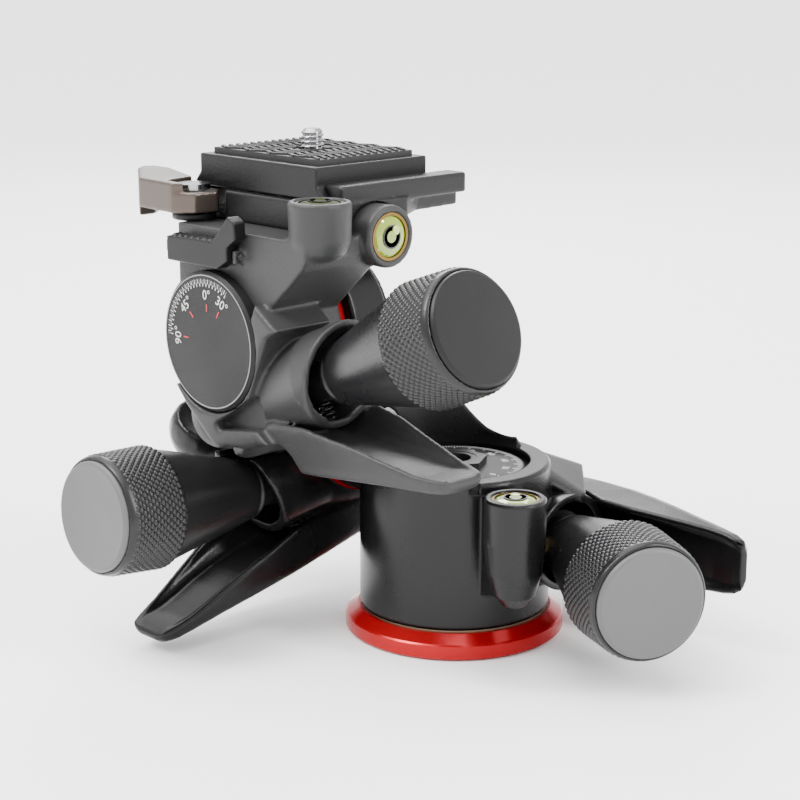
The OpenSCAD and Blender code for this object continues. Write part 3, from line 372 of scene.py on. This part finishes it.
def make_finish(name, base, rough=0.4, metal=0.0, grain=900.0, bump=0.05, spread=0.08,
                blotch=0.12, wear=0.0, wear_colour=None, coat=0.0, coat_rough=0.1,
                specular=0.5, round_edges=0.0, lathe_rings=False):
    """A painted, plated, turned or moulded finish: fine grain, soft blotches, rubbed edges."""
    mat = bpy.data.materials.new(name)
    mat.use_nodes = True
    w = Wires(mat.node_tree)
    shader = mat.node_tree.nodes["Principled BSDF"]
    place = w.add("ShaderNodeTexCoord").outputs["Object"]
    soft = w.add("ShaderNodeTexNoise", {
        "Vector": place, "Scale": BLOTCH_SCALE, "Detail": BLOTCH_DETAIL}).outputs["Fac"]

    tone = w.add("ShaderNodeMapRange", {
        "Value": soft, "To Min": 1.0 - blotch, "To Max": 1.0 + blotch}).outputs["Result"]
    paint = w.add("ShaderNodeMix", {"Factor": 1.0, "A": (*base, 1.0), "B": tone},
                  data_type="RGBA", blend_type="MULTIPLY").outputs["Result"]
    if wear > 0.0:
        points = w.add("ShaderNodeNewGeometry").outputs["Pointiness"]
        edge = w.add("ShaderNodeMapRange", {
            "Value": points, "From Min": EDGE_RANGE[0], "From Max": EDGE_RANGE[1],
            "To Max": wear}).outputs["Result"]
        paint = w.add("ShaderNodeMix", {"Factor": edge, "A": paint, "B": (*wear_colour, 1.0)},
                      data_type="RGBA").outputs["Result"]
    sheen = w.add("ShaderNodeMapRange", {
        "Value": soft, "From Min": SHEEN_RANGE[0], "From Max": SHEEN_RANGE[1],
        "To Min": max(LEAST_ROUGHNESS, rough - spread),
        "To Max": min(1.0, rough + spread)}).outputs["Result"]
    w.feed(shader, {"Base Color": paint, "Roughness": sheen, "Metallic": metal,
                    "Coat Weight": coat, "Coat Roughness": coat_rough,
                    "Specular IOR Level": specular})
    if bump > 0.0:
        fine = w.add("ShaderNodeTexNoise", {
            "Vector": place, "Scale": grain, "Detail": GRAIN_DETAIL}).outputs["Fac"]
        relief = w.add("ShaderNodeBump", {
            "Strength": bump, "Distance": GRAIN_DEPTH, "Height": fine})
        w.feed(shader, {"Normal": relief.outputs["Normal"]})
        if round_edges > 0.0:
            edges = w.add("ShaderNodeBevel", {"Radius": round_edges * MM}, samples=EDGE_SAMPLES)
            w.feed(relief, {"Normal": edges.outputs["Normal"]})
        if lathe_rings:
            wave = w.add("ShaderNodeTexWave", {
                "Vector": place, "Scale": LATHE_SCALE, "Distortion": LATHE_WOBBLE},
                wave_type="RINGS", rings_direction="Z")
            rings = w.add("ShaderNodeBump", {
                "Strength": LATHE_STRENGTH, "Distance": LATHE_DEPTH, "Height": wave.outputs["Fac"]})
            w.feed(relief, {"Normal": rings.outputs["Normal"]})
    return mat


def skin(name):
    """The named finish, made when it is first asked for."""
    ready = bpy.data.materials.get(name)
    if ready:
        return ready
    settings = dict(FINISHES[name])
    if isinstance(settings["base"], str):
        settings["base"] = getattr(colours(), settings["base"])
    return make_finish(name, **settings)


# ---------------------------------------------------------------- mesh helpers

def plain_object(name, mesh):
    obj = bpy.data.objects.new(name, mesh)
    bpy.context.scene.collection.objects.link(obj)
    return obj


def mesh_of(bm, name):
    mesh = bpy.data.meshes.new(name)
    bm.to_mesh(mesh)
    bm.free()
    return mesh


def evaluated_mesh(obj):
    graph = bpy.context.evaluated_depsgraph_get()
    graph.update()
    return bpy.data.meshes.new_from_object(obj.evaluated_get(graph), depsgraph=graph)


def bake(obj):
    """Gives the object its evaluated shape as a plain mesh, and takes its modifiers off."""
    mesh = evaluated_mesh(obj)
    obj.modifiers.clear()
    obj.data = mesh


def set_finish(obj, name):
    obj.data.materials.clear()
    obj.data.materials.append(skin(name))
    for face in obj.data.polygons:
        face.material_index = 0


def smooth(obj, sharp_degrees=None):
    for face in obj.data.polygons:
        face.use_smooth = True
    if sharp_degrees is not None:
        obj.data.set_sharp_from_angle(angle=math.radians(sharp_degrees))


def settle(obj, body):
    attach(obj, body)


def drive_matrix(name):
    """Takes a mesh made along +X, in millimetres, onto a drive's axis, in metres."""
    foot, along, across = (Vector(v) for v in DRIVES[name])
    turn = Matrix((along, across, along.cross(across))).transposed().to_4x4()
    return TO_METRES @ Matrix.Translation(foot) @ turn


def lathe(section, steps=64):
    """A section of (x, radius) points turned about X and closed at both ends."""
    bm = bmesh.new()
    rings = []
    for x, r in section:
        angles = [2 * math.pi * k / steps for k in range(steps)]
        rings.append([bm.verts.new((x, r * math.cos(a), r * math.sin(a))) for a in angles])
    for low, high in zip(rings, rings[1:]):
        for k in range(steps):
            n = (k + 1) % steps
            bm.faces.new((low[k], low[n], high[n], high[k]))
    bm.faces.new(rings[0][::-1])
    bm.faces.new(rings[-1])
    bmesh.ops.remove_doubles(bm, verts=bm.verts, dist=MERGE)
    bmesh.ops.recalc_face_normals(bm, faces=bm.faces)
    return mesh_of(bm, "lathe")


def hoop(section, steps):
    """A closed section of (radius, z) points carried round Z."""
    bm = bmesh.new()
    loops = []
    for k in range(steps):
        a = 2 * math.pi * k / steps
        loops.append([bm.verts.new((r * math.cos(a), r * math.sin(a), z)) for r, z in section])
    corners = len(section)
    for k in range(steps):
        low, high = loops[k], loops[(k + 1) % steps]
        for e in range(corners):
            n = (e + 1) % corners
            bm.faces.new((low[e], high[e], high[n], low[n]))
    bmesh.ops.recalc_face_normals(bm, faces=bm.faces)
    return mesh_of(bm, "hoop")


def add_prism(bm, outline, low, high):
    """Adds a closed upright prism, sizes in millimetres, to a mesh in metres."""
    base = [bm.verts.new((x * MM, y * MM, low * MM)) for x, y in outline]
    top = [bm.verts.new((x * MM, y * MM, high * MM)) for x, y in outline]
    count = len(outline)
    made = []
    for k in range(count):
        n = (k + 1) % count
        made.append(bm.faces.new((base[k], base[n], top[n], top[k])))
    made.append(bm.faces.new(base[::-1]))
    made.append(bm.faces.new(top))
    bmesh.ops.recalc_face_normals(bm, faces=made)


def softened(node, name, voxel, passes, prisms=()):
    """A copy of a CAD node, with prisms added and its edges rounded."""
    bm = bmesh.new()
    bm.from_mesh(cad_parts[node].data)
    bmesh.ops.remove_doubles(bm, verts=bm.verts, dist=MERGE_METRES)
    bmesh.ops.recalc_face_normals(bm, faces=bm.faces)
    for outline, low, high in prisms:
        add_prism(bm, outline, low, high)
    obj = plain_object(name, mesh_of(bm, name))
    remesh = obj.modifiers.new("grain", "REMESH")
    remesh.mode = "VOXEL"
    remesh.voxel_size = voxel * MM
    remesh.use_smooth_shade = True
    relax = obj.modifiers.new("round", "SMOOTH")
    relax.factor = 0.5
    relax.iterations = passes
    bake(obj)
    triangles = sum(len(face.vertices) - 2 for face in obj.data.polygons)
    if triangles > MOST_TRIANGLES:
        thin = obj.modifiers.new("thin", "DECIMATE")
        thin.ratio = MOST_TRIANGLES / triangles
        bake(obj)
    smooth(obj)
    return obj


def stand_in(node, body, finish_name, suffix, voxel, passes, prisms=()):
    """A softened copy that takes the place of its CAD node."""
    obj = softened(node, node + suffix, voxel, passes, prisms)
    set_finish(obj, finish_name)
    settle(obj, body)
    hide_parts(node)


def joined(name, objects):
    """One plain object from several, whose meshes are already in place."""
    bm = bmesh.new()
    mats = []
    for obj in objects:
        first = len(bm.faces)
        bm.from_mesh(obj.data)
        bm.faces.ensure_lookup_table()
        mat = obj.data.materials[0]
        if mat not in mats:
            mats.append(mat)
        for face in bm.faces[first:]:
            face.material_index = mats.index(mat)
    mesh = mesh_of(bm, name)
    for mat in mats:
        mesh.materials.append(mat)
    for obj in objects:
        bpy.data.objects.remove(obj)
    return plain_object(name, mesh)


def painted(name, mesh, matrix, finish_name):
    """An object from a mesh that the matrix takes to its place."""
    mesh.transform(matrix)
    obj = plain_object(name, mesh)
    set_finish(obj, finish_name)
    return obj


# ---------------------------------------------------------------- node trees

def new_tree(name, inputs):
    """A geometry node group with the named inputs, a finish and one geometry output."""
    tree = bpy.data.node_groups.new(name, "GeometryNodeTree")
    face = tree.interface
    face.new_socket("Geometry", in_out="INPUT", socket_type="NodeSocketGeometry")
    for title, kind, value in inputs:
        item = face.new_socket(title, in_out="INPUT", socket_type="NodeSocket" + kind)
        item.default_value = value
    face.new_socket("Finish", in_out="INPUT", socket_type="NodeSocketMaterial")
    face.new_socket("Geometry", in_out="OUTPUT", socket_type="NodeSocketGeometry")
    return tree


def run_tree(name, tree, values, finish_name):
    """Runs a node group on an empty mesh and returns the result as a plain object."""
    obj = plain_object(name, bpy.data.meshes.new(name))
    mod = obj.modifiers.new("nodes", "NODES")
    mod.node_group = tree
    keys = {s.name: s.identifier for s in tree.interface.items_tree
            if s.item_type == "SOCKET" and s.in_out == "INPUT"}
    for title, value in values.items():
        mod[keys[title]] = value
    mod[keys["Finish"]] = skin(finish_name)
    bake(obj)
    set_finish(obj, finish_name)
    return obj


def end_tree(w, given, points, shape, turn):
    """Sets the shape on the points, as real geometry with its finish."""
    copies = w.add("GeometryNodeInstanceOnPoints", {
        "Points": points, "Instance": shape, "Rotation": turn})
    real = w.add("GeometryNodeRealizeInstances", {0: copies.outputs[0]})
    paint = w.add("GeometryNodeSetMaterial", {
        "Geometry": real.outputs[0], "Material": given["Finish"]})
    w.add("NodeGroupOutput", {0: paint.outputs[0]})


def knurl_tree():
    """Domes in staggered rows round a slightly tapered band along +X."""
    tree = new_tree("knurl", (
        ("Rows", "Int", 15), ("Columns", "Int", 54), ("Start", "Float", 0.0),
        ("Length", "Float", 15.0), ("Inner Radius", "Float", 16.2),
        ("Outer Radius", "Float", 15.6), ("Dome Width", "Float", 0.8),
        ("Dome Height", "Float", 0.35)))
    w = Wires(tree)
    given = w.add("NodeGroupInput").outputs
    rows, columns = given["Rows"], given["Columns"]
    index = w.add("GeometryNodeInputIndex").outputs[0]
    row = w.maths("FLOOR", w.maths("DIVIDE", index, columns))
    column = w.maths("MODULO", index, columns)
    share = w.maths("DIVIDE", w.maths("ADD", row, 0.5), rows)
    along = w.maths("ADD", given["Start"], w.maths("MULTIPLY", share, given["Length"]))
    stagger = w.maths("MULTIPLY", w.maths("MODULO", row, 2.0), 0.5)
    turns = w.maths("DIVIDE", w.maths("ADD", column, stagger), columns)
    angle = w.maths("MULTIPLY", turns, 2 * math.pi)
    taper = w.maths("SUBTRACT", given["Outer Radius"], given["Inner Radius"])
    radius = w.maths("ADD", given["Inner Radius"], w.maths("MULTIPLY", share, taper))
    spot = w.vector(along, w.maths("MULTIPLY", radius, w.maths("COSINE", angle)),
                    w.maths("MULTIPLY", radius, w.maths("SINE", angle)))
    points = w.add("GeometryNodePoints", {
        "Count": w.maths("MULTIPLY", rows, columns), "Position": spot})
    ball = w.add("GeometryNodeMeshUVSphere", {
        "Segments": DOME_SEGMENTS, "Rings": DOME_RINGS, "Radius": 1.0})
    shade = w.add("GeometryNodeSetShadeSmooth", {0: ball.outputs["Mesh"]})
    width = given["Dome Width"]
    dome = w.add("GeometryNodeTransform", {
        "Geometry": shade.outputs[0], "Scale": w.vector(width, width, given["Dome Height"])})
    outwards = w.vector(w.maths("SUBTRACT", angle, math.pi / 2))
    end_tree(w, given, points.outputs[0], dome.outputs[0], outwards)
    return tree


def marks_tree():
    """Bars laid like the ticks of a dial in the XY plane, from a start angle on."""
    tree = new_tree("marks", (
        ("Count", "Int", 12), ("Start", "Float", 0.0), ("Step", "Float", 0.1),
        ("Radius", "Float", 18.0), ("Length", "Float", 2.0), ("Width", "Float", 0.3),
        ("Height", "Float", 0.1)))
    w = Wires(tree)
    given = w.add("NodeGroupInput").outputs
    index = w.add("GeometryNodeInputIndex").outputs[0]
    angle = w.maths("ADD", given["Start"], w.maths("MULTIPLY", index, given["Step"]))
    radius = w.maths("SUBTRACT", given["Radius"], w.maths("MULTIPLY", given["Length"], 0.5))
    spot = w.vector(w.maths("MULTIPLY", radius, w.maths("COSINE", angle)),
                    w.maths("MULTIPLY", radius, w.maths("SINE", angle)))
    points = w.add("GeometryNodePoints", {"Count": given["Count"], "Position": spot})
    bar = w.add("GeometryNodeMeshCube", {
        "Size": w.vector(given["Length"], given["Width"], given["Height"])})
    end_tree(w, given, points.outputs[0], bar.outputs["Mesh"], w.vector(z=angle))
    return tree


def chevron_tree():
    """Short slanted ribs in columns whose slant turns from one column to the next."""
    tree = new_tree("chevrons", (
        ("Size X", "Float", 40.0), ("Size Y", "Float", 30.0), ("Columns", "Int", 8),
        ("Rows", "Int", 14), ("Rib Length", "Float", 5.0), ("Rib Width", "Float", 0.9),
        ("Rib Height", "Float", 0.5), ("Clear Radius", "Float", 5.0)))
    w = Wires(tree)
    given = w.add("NodeGroupInput").outputs
    wide, columns = given["Size X"], given["Columns"]
    grid = w.add("GeometryNodeMeshGrid", {
        "Size X": wide, "Size Y": given["Size Y"], "Vertices X": columns,
        "Vertices Y": given["Rows"]})
    place = w.add("GeometryNodeInputPosition").outputs[0]
    reach = w.add("ShaderNodeVectorMath", {0: place}, operation="LENGTH").outputs["Value"]
    keep = w.add("GeometryNodeDeleteGeometry", {
        "Geometry": grid.outputs["Mesh"],
        "Selection": w.maths("LESS_THAN", reach, given["Clear Radius"])}, domain="POINT")
    x = w.add("ShaderNodeSeparateXYZ", {0: place}).outputs[0]
    step = w.maths("DIVIDE", wide, w.maths("SUBTRACT", columns, 1.0))
    from_edge = w.maths("ADD", x, w.maths("MULTIPLY", wide, 0.5))
    column = w.maths("ROUND", w.maths("DIVIDE", from_edge, step))
    odd = w.maths("MODULO", column, 2.0)
    side = w.maths("SUBTRACT", w.maths("MULTIPLY", odd, 2.0), 1.0)
    bar = w.add("GeometryNodeMeshCube", {
        "Size": w.vector(given["Rib Length"], given["Rib Width"], given["Rib Height"])})
    slant = w.vector(z=w.maths("MULTIPLY", side, PAD_SLANT))
    end_tree(w, given, keep.outputs[0], bar.outputs["Mesh"], slant)
    return tree


# ---------------------------------------------------------------- print

def ticks(name, tree, plane, count, start, step, radius, length, width, finish_name="white_print"):
    """Ticks of a dial. The angles are in degrees, and plane takes the XY plane to the dial."""
    obj = run_tree(name, tree, {
        "Count": count, "Start": math.radians(start), "Step": math.radians(step),
        "Radius": radius, "Length": length, "Width": width, "Height": TICK_HEIGHT}, finish_name)
    obj.data.transform(plane)
    return obj


def number(name, words, size, radius, degrees, plane):
    """A number of a dial, its foot towards the centre."""
    curve = bpy.data.curves.new(name, "FONT")
    curve.body = words
    curve.size = size
    curve.extrude = NUMBER_THICK
    curve.align_x = "CENTER"
    curve.align_y = "CENTER"
    curve.resolution_u = 3
    text = plain_object(name + "_curve", curve)
    mesh = evaluated_mesh(text)
    bpy.data.objects.remove(text)
    a = math.radians(degrees)
    spot = Matrix.Translation((radius * math.cos(a), radius * math.sin(a), 0))
    upright = Matrix.Rotation(a - math.pi / 2, 4, "Z")
    return painted(name, mesh, plane @ spot @ upright, "white_print")


def index_mark(tree, plane):
    """The mark above the dial, on the face of the ring round it."""
    bm = bmesh.new()
    bm.from_mesh(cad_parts["lateral_housing"].data)
    start = Vector((DIAL_CENTRE[0], INDEX_VIEW_Y, DIAL_CENTRE[2] + INDEX_MIDDLE)) * MM
    where = BVHTree.FromBMesh(bm).ray_cast(start, Vector((0, 1, 0)))[0]
    bm.free()
    if where is None:
        raise RuntimeError("the ring round the dial has no place for its index mark")
    to_ring = Matrix.Translation((0, where.y - DIAL_CENTRE[1] * MM, 0))
    return ticks("dial_index", tree, to_ring @ plane, 1, 90, 0, INDEX_RADIUS, *INDEX_SIZE)


# ---------------------------------------------------------------- operators

class HEAD_OT_finishes(bpy.types.Operator):
    """Give every CAD node its finish"""
    bl_idname = "head.finishes"
    bl_label = "Finishes"

    def execute(self, context):
        chosen = {node: "steel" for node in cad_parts}
        for finish_name, nodes in NODE_FINISH.items():
            for node in nodes:
                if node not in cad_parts:
                    raise RuntimeError("no CAD node " + node)
                chosen[node] = finish_name
        for node, finish_name in chosen.items():
            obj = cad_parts[node]
            if not obj.material_slots:
                obj.data.materials.append(skin(finish_name))
            for slot in obj.material_slots:
                slot.material = skin(finish_name)
        return {"FINISHED"}


class HEAD_OT_castings(bpy.types.Operator):
    """Round the edges of the tilt and lateral housings and the clamp"""
    bl_idname = "head.castings"
    bl_label = "Castings"

    def execute(self, context):
        voxel = sizes().casting_voxel
        passes = sizes().edge_rounding
        stand_in("tilt_housing", "tilt_body", "black_paint", "_cast", voxel, passes)
        stand_in("lateral_housing", "lateral_body", "grey_paint", "_cast", voxel, passes)
        stand_in("clamp_body", "lateral_body", "clamp_paint", "_cast", voxel * CLAMP_GRAIN, passes)
        return {"FINISHED"}


class HEAD_OT_release(bpy.types.Operator):
    """Round the edges of the lever, the catch and the plate, and add the lever's wing"""
    bl_idname = "head.release"
    bl_label = "Quick release"

    def execute(self, context):
        voxel = sizes().small_voxel
        stand_in("lock_lever", "lever", "bronze", "_soft", voxel, LEVER_PASSES, LEVER_WING)
        stand_in("safety_catch", "catch", "satin_black", "_soft", voxel, FINE_PASSES,
                 self.catch_ribs())
        stand_in("plate_base", "plate", "satin_black", "_soft", voxel, FINE_PASSES)
        return {"FINISHED"}

    @staticmethod
    def catch_ribs():
        ribs = []
        front, back = CATCH_RIB_Y
        for k in range(CATCH_RIBS):
            left = CATCH_RIB_FIRST_X + k * CATCH_RIB_PITCH
            right = left + CATCH_RIB_WIDTH
            outline = ((left, front), (right, front), (right, back), (left, back))
            ribs.append((outline, *CATCH_RIB_Z))
        return ribs


class HEAD_OT_knobs(bpy.types.Operator):
    """Round the edges of the three knobs and set the domes of their grips"""
    bl_idname = "head.knobs"
    bl_label = "Knobs"

    def execute(self, context):
        s = sizes()
        for name in DRIVES:
            stand_in(name + "_knob", name + "_drive", "knob_moulding", "_soft", s.small_voxel,
                     FINE_PASSES)
        tree = knurl_tree()
        for name, neck in KNOB_NECK.items():
            grip = run_tree(name + "_grip", tree, {
                "Rows": s.knurl_rows, "Columns": s.knurl_columns, "Start": neck + GRIP_START,
                "Length": GRIP_LENGTH, "Inner Radius": GRIP_INNER_RADIUS,
                "Outer Radius": GRIP_OUTER_RADIUS,
                "Dome Width": GRIP_BAND / s.knurl_rows * DOME_SHARE,
                "Dome Height": s.dome_height}, "knurl")
            grip.data.transform(drive_matrix(name))
            settle(grip, name + "_drive")
        return {"FINISHED"}


class HEAD_OT_dial(bpy.types.Operator):
    """Print the ticks, numbers and marks of the lateral dial"""
    bl_idname = "head.dial"
    bl_label = "Lateral dial"

    def execute(self, context):
        tree = marks_tree()
        centre = Vector(DIAL_CENTRE) - Vector((0, DIAL_LIFT, 0))
        plane = TO_METRES @ Matrix.Translation(centre) @ Matrix.Rotation(math.pi / 2, 4, "X")
        parts = [ticks(name, tree, plane, count, DIAL_START, step, DIAL_TICK_RADIUS, length, width)
                 for name, count, step, length, width in DIAL_TICKS]
        for words, degrees in DIAL_NUMBERS:
            parts.append(ticks("dial_red_" + words, tree, plane, 1, degrees, 0, RED_MARK_RADIUS,
                               *RED_MARK_SIZE, "red_print"))
        for words, degrees in DIAL_NUMBERS:
            parts.append(number("dial_" + words, words + "°", DIAL_NUMBER_SIZE,
                                DIAL_NUMBER_RADIUS, degrees, plane))
        parts.append(painted("dial_rim", hoop(RIM_SECTION, RIM_STEPS), plane, "rim_grey"))
        settle(index_mark(tree, plane), "lateral_body")
        settle(joined("dial_print", parts), "tilt_body")
        return {"FINISHED"}


class HEAD_OT_pan_scale(bpy.types.Operator):
    """Print the ticks and numbers of the pan scale"""
    bl_idname = "head.pan_scale"
    bl_label = "Pan scale"

    def execute(self, context):
        tree = marks_tree()
        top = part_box("pan_scale")[1][2] / MM
        plane = TO_METRES @ Matrix.Translation((0, 0, top + PAN_LIFT))
        parts = [ticks(name, tree, plane, count, 0, step, PAN_TICK_RADIUS, length, width)
                 for name, count, step, length, width in PAN_TICKS]
        for degrees in range(0, 360, PAN_NUMBER_STEP):
            value = min(degrees, 360 - degrees)
            parts.append(number("scale_%d" % degrees, str(value), PAN_NUMBER_SIZE,
                                PAN_NUMBER_RADIUS, degrees, plane))
        settle(joined("pan_scale_print", parts), "base")
        return {"FINISHED"}


class HEAD_OT_pad(bpy.types.Operator):
    """Raise the slanted ribs of the rubber pad"""
    bl_idname = "head.pad"
    bl_label = "Rubber pad"

    def execute(self, context):
        low, high = (Vector(p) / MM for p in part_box("rubber_pad"))
        wide, deep = high.x - low.x, high.y - low.y
        pitch = sizes().rib_pitch
        length = (wide - PAD_RIM) / PAD_COLUMNS
        ribs = run_tree("pad_ribs", chevron_tree(), {
            "Size X": wide - length - PAD_SIDE_MARGIN, "Size Y": deep - PAD_END_MARGIN,
            "Columns": PAD_COLUMNS, "Rows": max(2, int((deep - PAD_END_MARGIN) / pitch)),
            "Rib Length": length * PAD_RIB_REACH, "Rib Width": pitch * PAD_RIB_SHARE,
            "Rib Height": PAD_RIB_HEIGHT, "Clear Radius": PAD_CLEAR_RADIUS}, "rubber")
        centre = ((low.x + high.x) / 2, (low.y + high.y) / 2, high.z + PAD_RIB_LIFT)
        ribs.data.transform(TO_METRES @ Matrix.Translation(centre))
        settle(ribs, "plate")
        return {"FINISHED"}


class HEAD_OT_screw(bpy.types.Operator):
    """Cut the thread of the camera screw"""
    bl_idname = "head.screw"
    bl_label = "Camera screw"

    def execute(self, context):
        place = TO_METRES @ Matrix.Translation((*PLATE_CENTRE, 0))
        head = lathe(HEAD_SECTION)
        head.transform(X_TO_Z)
        screw = joined("camera_screw_cut", [
            painted("screw_thread", self.thread(sizes().thread_pitch), place, "steel"),
            painted("screw_head", head, place, "steel")])
        smooth(screw, SCREW_SHARP)
        settle(screw, "screw")
        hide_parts("camera_screw")
        return {"FINISHED"}

    @staticmethod
    def thread_radius(z, turn, pitch):
        """Radius of the thread at a height and a share of a turn."""
        phase = ((z - THREAD_BOTTOM) / pitch - turn) % 1.0
        crest = max(0.0, min(1.0, THREAD_FLANK * min(phase, 1 - phase) - THREAD_FLAT))
        radius = THREAD_ROOT + THREAD_DEPTH * crest
        left = SCREW_TOP - z
        return min(radius, TIP_RADIUS + left) if left < TIP_LENGTH else radius

    def thread(self, pitch):
        length = SCREW_TOP - THREAD_BOTTOM
        rows = int(length / pitch * THREAD_ROWS_A_TURN)
        bm = bmesh.new()
        grid = []
        for k in range(THREAD_STEPS):
            turn = k / THREAD_STEPS
            cosine, sine = math.cos(2 * math.pi * turn), math.sin(2 * math.pi * turn)
            column = []
            for row in range(rows + 1):
                z = THREAD_BOTTOM + length * row / rows
                radius = self.thread_radius(z, turn, pitch)
                column.append(bm.verts.new((radius * cosine, radius * sine, z)))
            grid.append(column)
        for k in range(THREAD_STEPS):
            a, b = grid[k], grid[(k + 1) % THREAD_STEPS]
            for row in range(rows):
                bm.faces.new((a[row], b[row], b[row + 1], a[row + 1]))
        bm.faces.new([column[-1] for column in grid])
        bm.faces.new([column[0] for column in grid][::-1])
        bmesh.ops.recalc_face_normals(bm, faces=bm.faces)
        return mesh_of(bm, "camera_screw_thread")


class HEAD_OT_levels(bpy.types.Operator):
    """Add the circle and the bubble of the three levels"""
    bl_idname = "head.levels"
    bl_label = "Bubble levels"

    def execute(self, context):
        for name, (body, axis) in LEVELS.items():
            low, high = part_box(name + "_vial")
            face = Vector((low[k] + high[k]) / 2 / MM for k in range(3))
            face[axis] = high[axis] / MM
            turn = X_TO_Z if axis == 2 else Matrix.Identity(4)
            place = TO_METRES @ Matrix.Translation(face) @ turn
            bubble = lathe(BUBBLE_SECTION, 32)
            aside = Matrix.Translation((0, BUBBLE_OFF_CENTRE, BUBBLE_OFF_CENTRE))
            bubble.transform(aside @ Matrix.Scale(BUBBLE_SCALE, 4))
            # The top level's bubble is darkened with its liquid, as painted shade of the deep cup.
            bubble_finish = "liquid_in_painted_shade" if name == "top_level" else "bubble"
            view = joined(name + "_view", [
                painted(name + "_ring", lathe(CIRCLE_SECTION, 48), place, "ring_print"),
                painted(name + "_bubble", bubble, place, bubble_finish)])
            smooth(view, LEVEL_SHARP)
            settle(view, body)
        return {"FINISHED"}


class HEAD_OT_stage(bpy.types.Operator):
    """Lay the floor and set the lights and the camera"""
    bl_idname = "head.stage"
    bl_label = "Stage"

    def execute(self, context):
        self.lay_floor()
        self.set_lights(context.scene)
        self.set_camera(context.scene)
        return {"FINISHED"}

    @staticmethod
    def lay_floor():
        corners = [(x * FLOOR_HALF, y * FLOOR_HALF, FLOOR_Z)
                   for x, y in ((-1, -1), (1, -1), (1, 1), (-1, 1))]
        mesh = bpy.data.meshes.new("floor")
        mesh.from_pydata(corners, [], [(0, 1, 2, 3)])
        floor = plain_object("floor", mesh)
        set_finish(floor, "floor_white")

    @staticmethod
    def set_lights(scene):
        world = bpy.data.worlds.new("studio")
        world.use_nodes = True
        sky_light = world.node_tree.nodes["Background"].inputs
        sky_light["Color"].default_value = (1, 1, 1, 1)
        sky_light["Strength"].default_value = WORLD_STRENGTH
        scene.world = world
        for name, place, size, power in AREA_LIGHTS:
            light = bpy.data.lights.new(name, "AREA")
            light.shape = "RECTANGLE"
            light.size, light.size_y = size
            light.energy = power
            obj = plain_object(name, light)
            obj.location = place
            aim = Vector(LIGHT_TARGET) - Vector(place)
            obj.rotation_euler = aim.to_track_quat("-Z", "Y").to_euler()
        sun = bpy.data.lights.new("sky", "SUN")
        sun.energy = SKY_STRENGTH
        sun.angle = math.radians(SKY_SPREAD)
        plain_object("sky", sun).rotation_euler = [math.radians(a) for a in SKY_TURN]

    @staticmethod
    def set_camera(scene):
        lens = bpy.data.cameras.new("camera")
        lens.lens = CAMERA_LENS
        lens.sensor_width = CAMERA_SENSOR
        lens.clip_start = CAMERA_NEAR
        camera = plain_object("camera", lens)
        camera.location = CAMERA_PLACE
        camera.rotation_euler = [math.radians(a) for a in CAMERA_TURN]
        scene.camera = camera


class HEAD_PT_panel(bpy.types.Panel):
    """Lists the operators, the sizes and the colours of the tripod head"""
    bl_label = "Geared Tripod Head"
    bl_idname = "HEAD_PT_panel"
    bl_space_type = "VIEW_3D"
    bl_region_type = "UI"
    bl_category = "Tripod Head"

    def draw(self, context):
        layout = self.layout
        for group in (context.scene.head_sizes, context.scene.head_colours):
            box = layout.box()
            for key in group.__annotations__:
                box.prop(group, key)
        for step in STEPS:
            layout.operator(step.bl_idname)


STEPS = (HEAD_OT_finishes, HEAD_OT_castings, HEAD_OT_release, HEAD_OT_knobs, HEAD_OT_dial,
         HEAD_OT_pan_scale, HEAD_OT_pad, HEAD_OT_screw, HEAD_OT_levels, HEAD_OT_stage)
CLASSES = (HeadSizes, HeadColours) + STEPS + (HEAD_PT_panel,)


def register():
    for cls in CLASSES:
        bpy.utils.register_class(cls)
    bpy.types.Scene.head_sizes = bpy.props.PointerProperty(type=HeadSizes)
    bpy.types.Scene.head_colours = bpy.props.PointerProperty(type=HeadColours)


def unregister():
    del bpy.types.Scene.head_colours
    del bpy.types.Scene.head_sizes
    for cls in reversed(CLASSES):
        bpy.utils.unregister_class(cls)


def main():
    register()
    for step in STEPS:
        group, name = step.bl_idname.split(".")
        getattr(getattr(bpy.ops, group), name)()


if __name__ == "__main__":
    main()
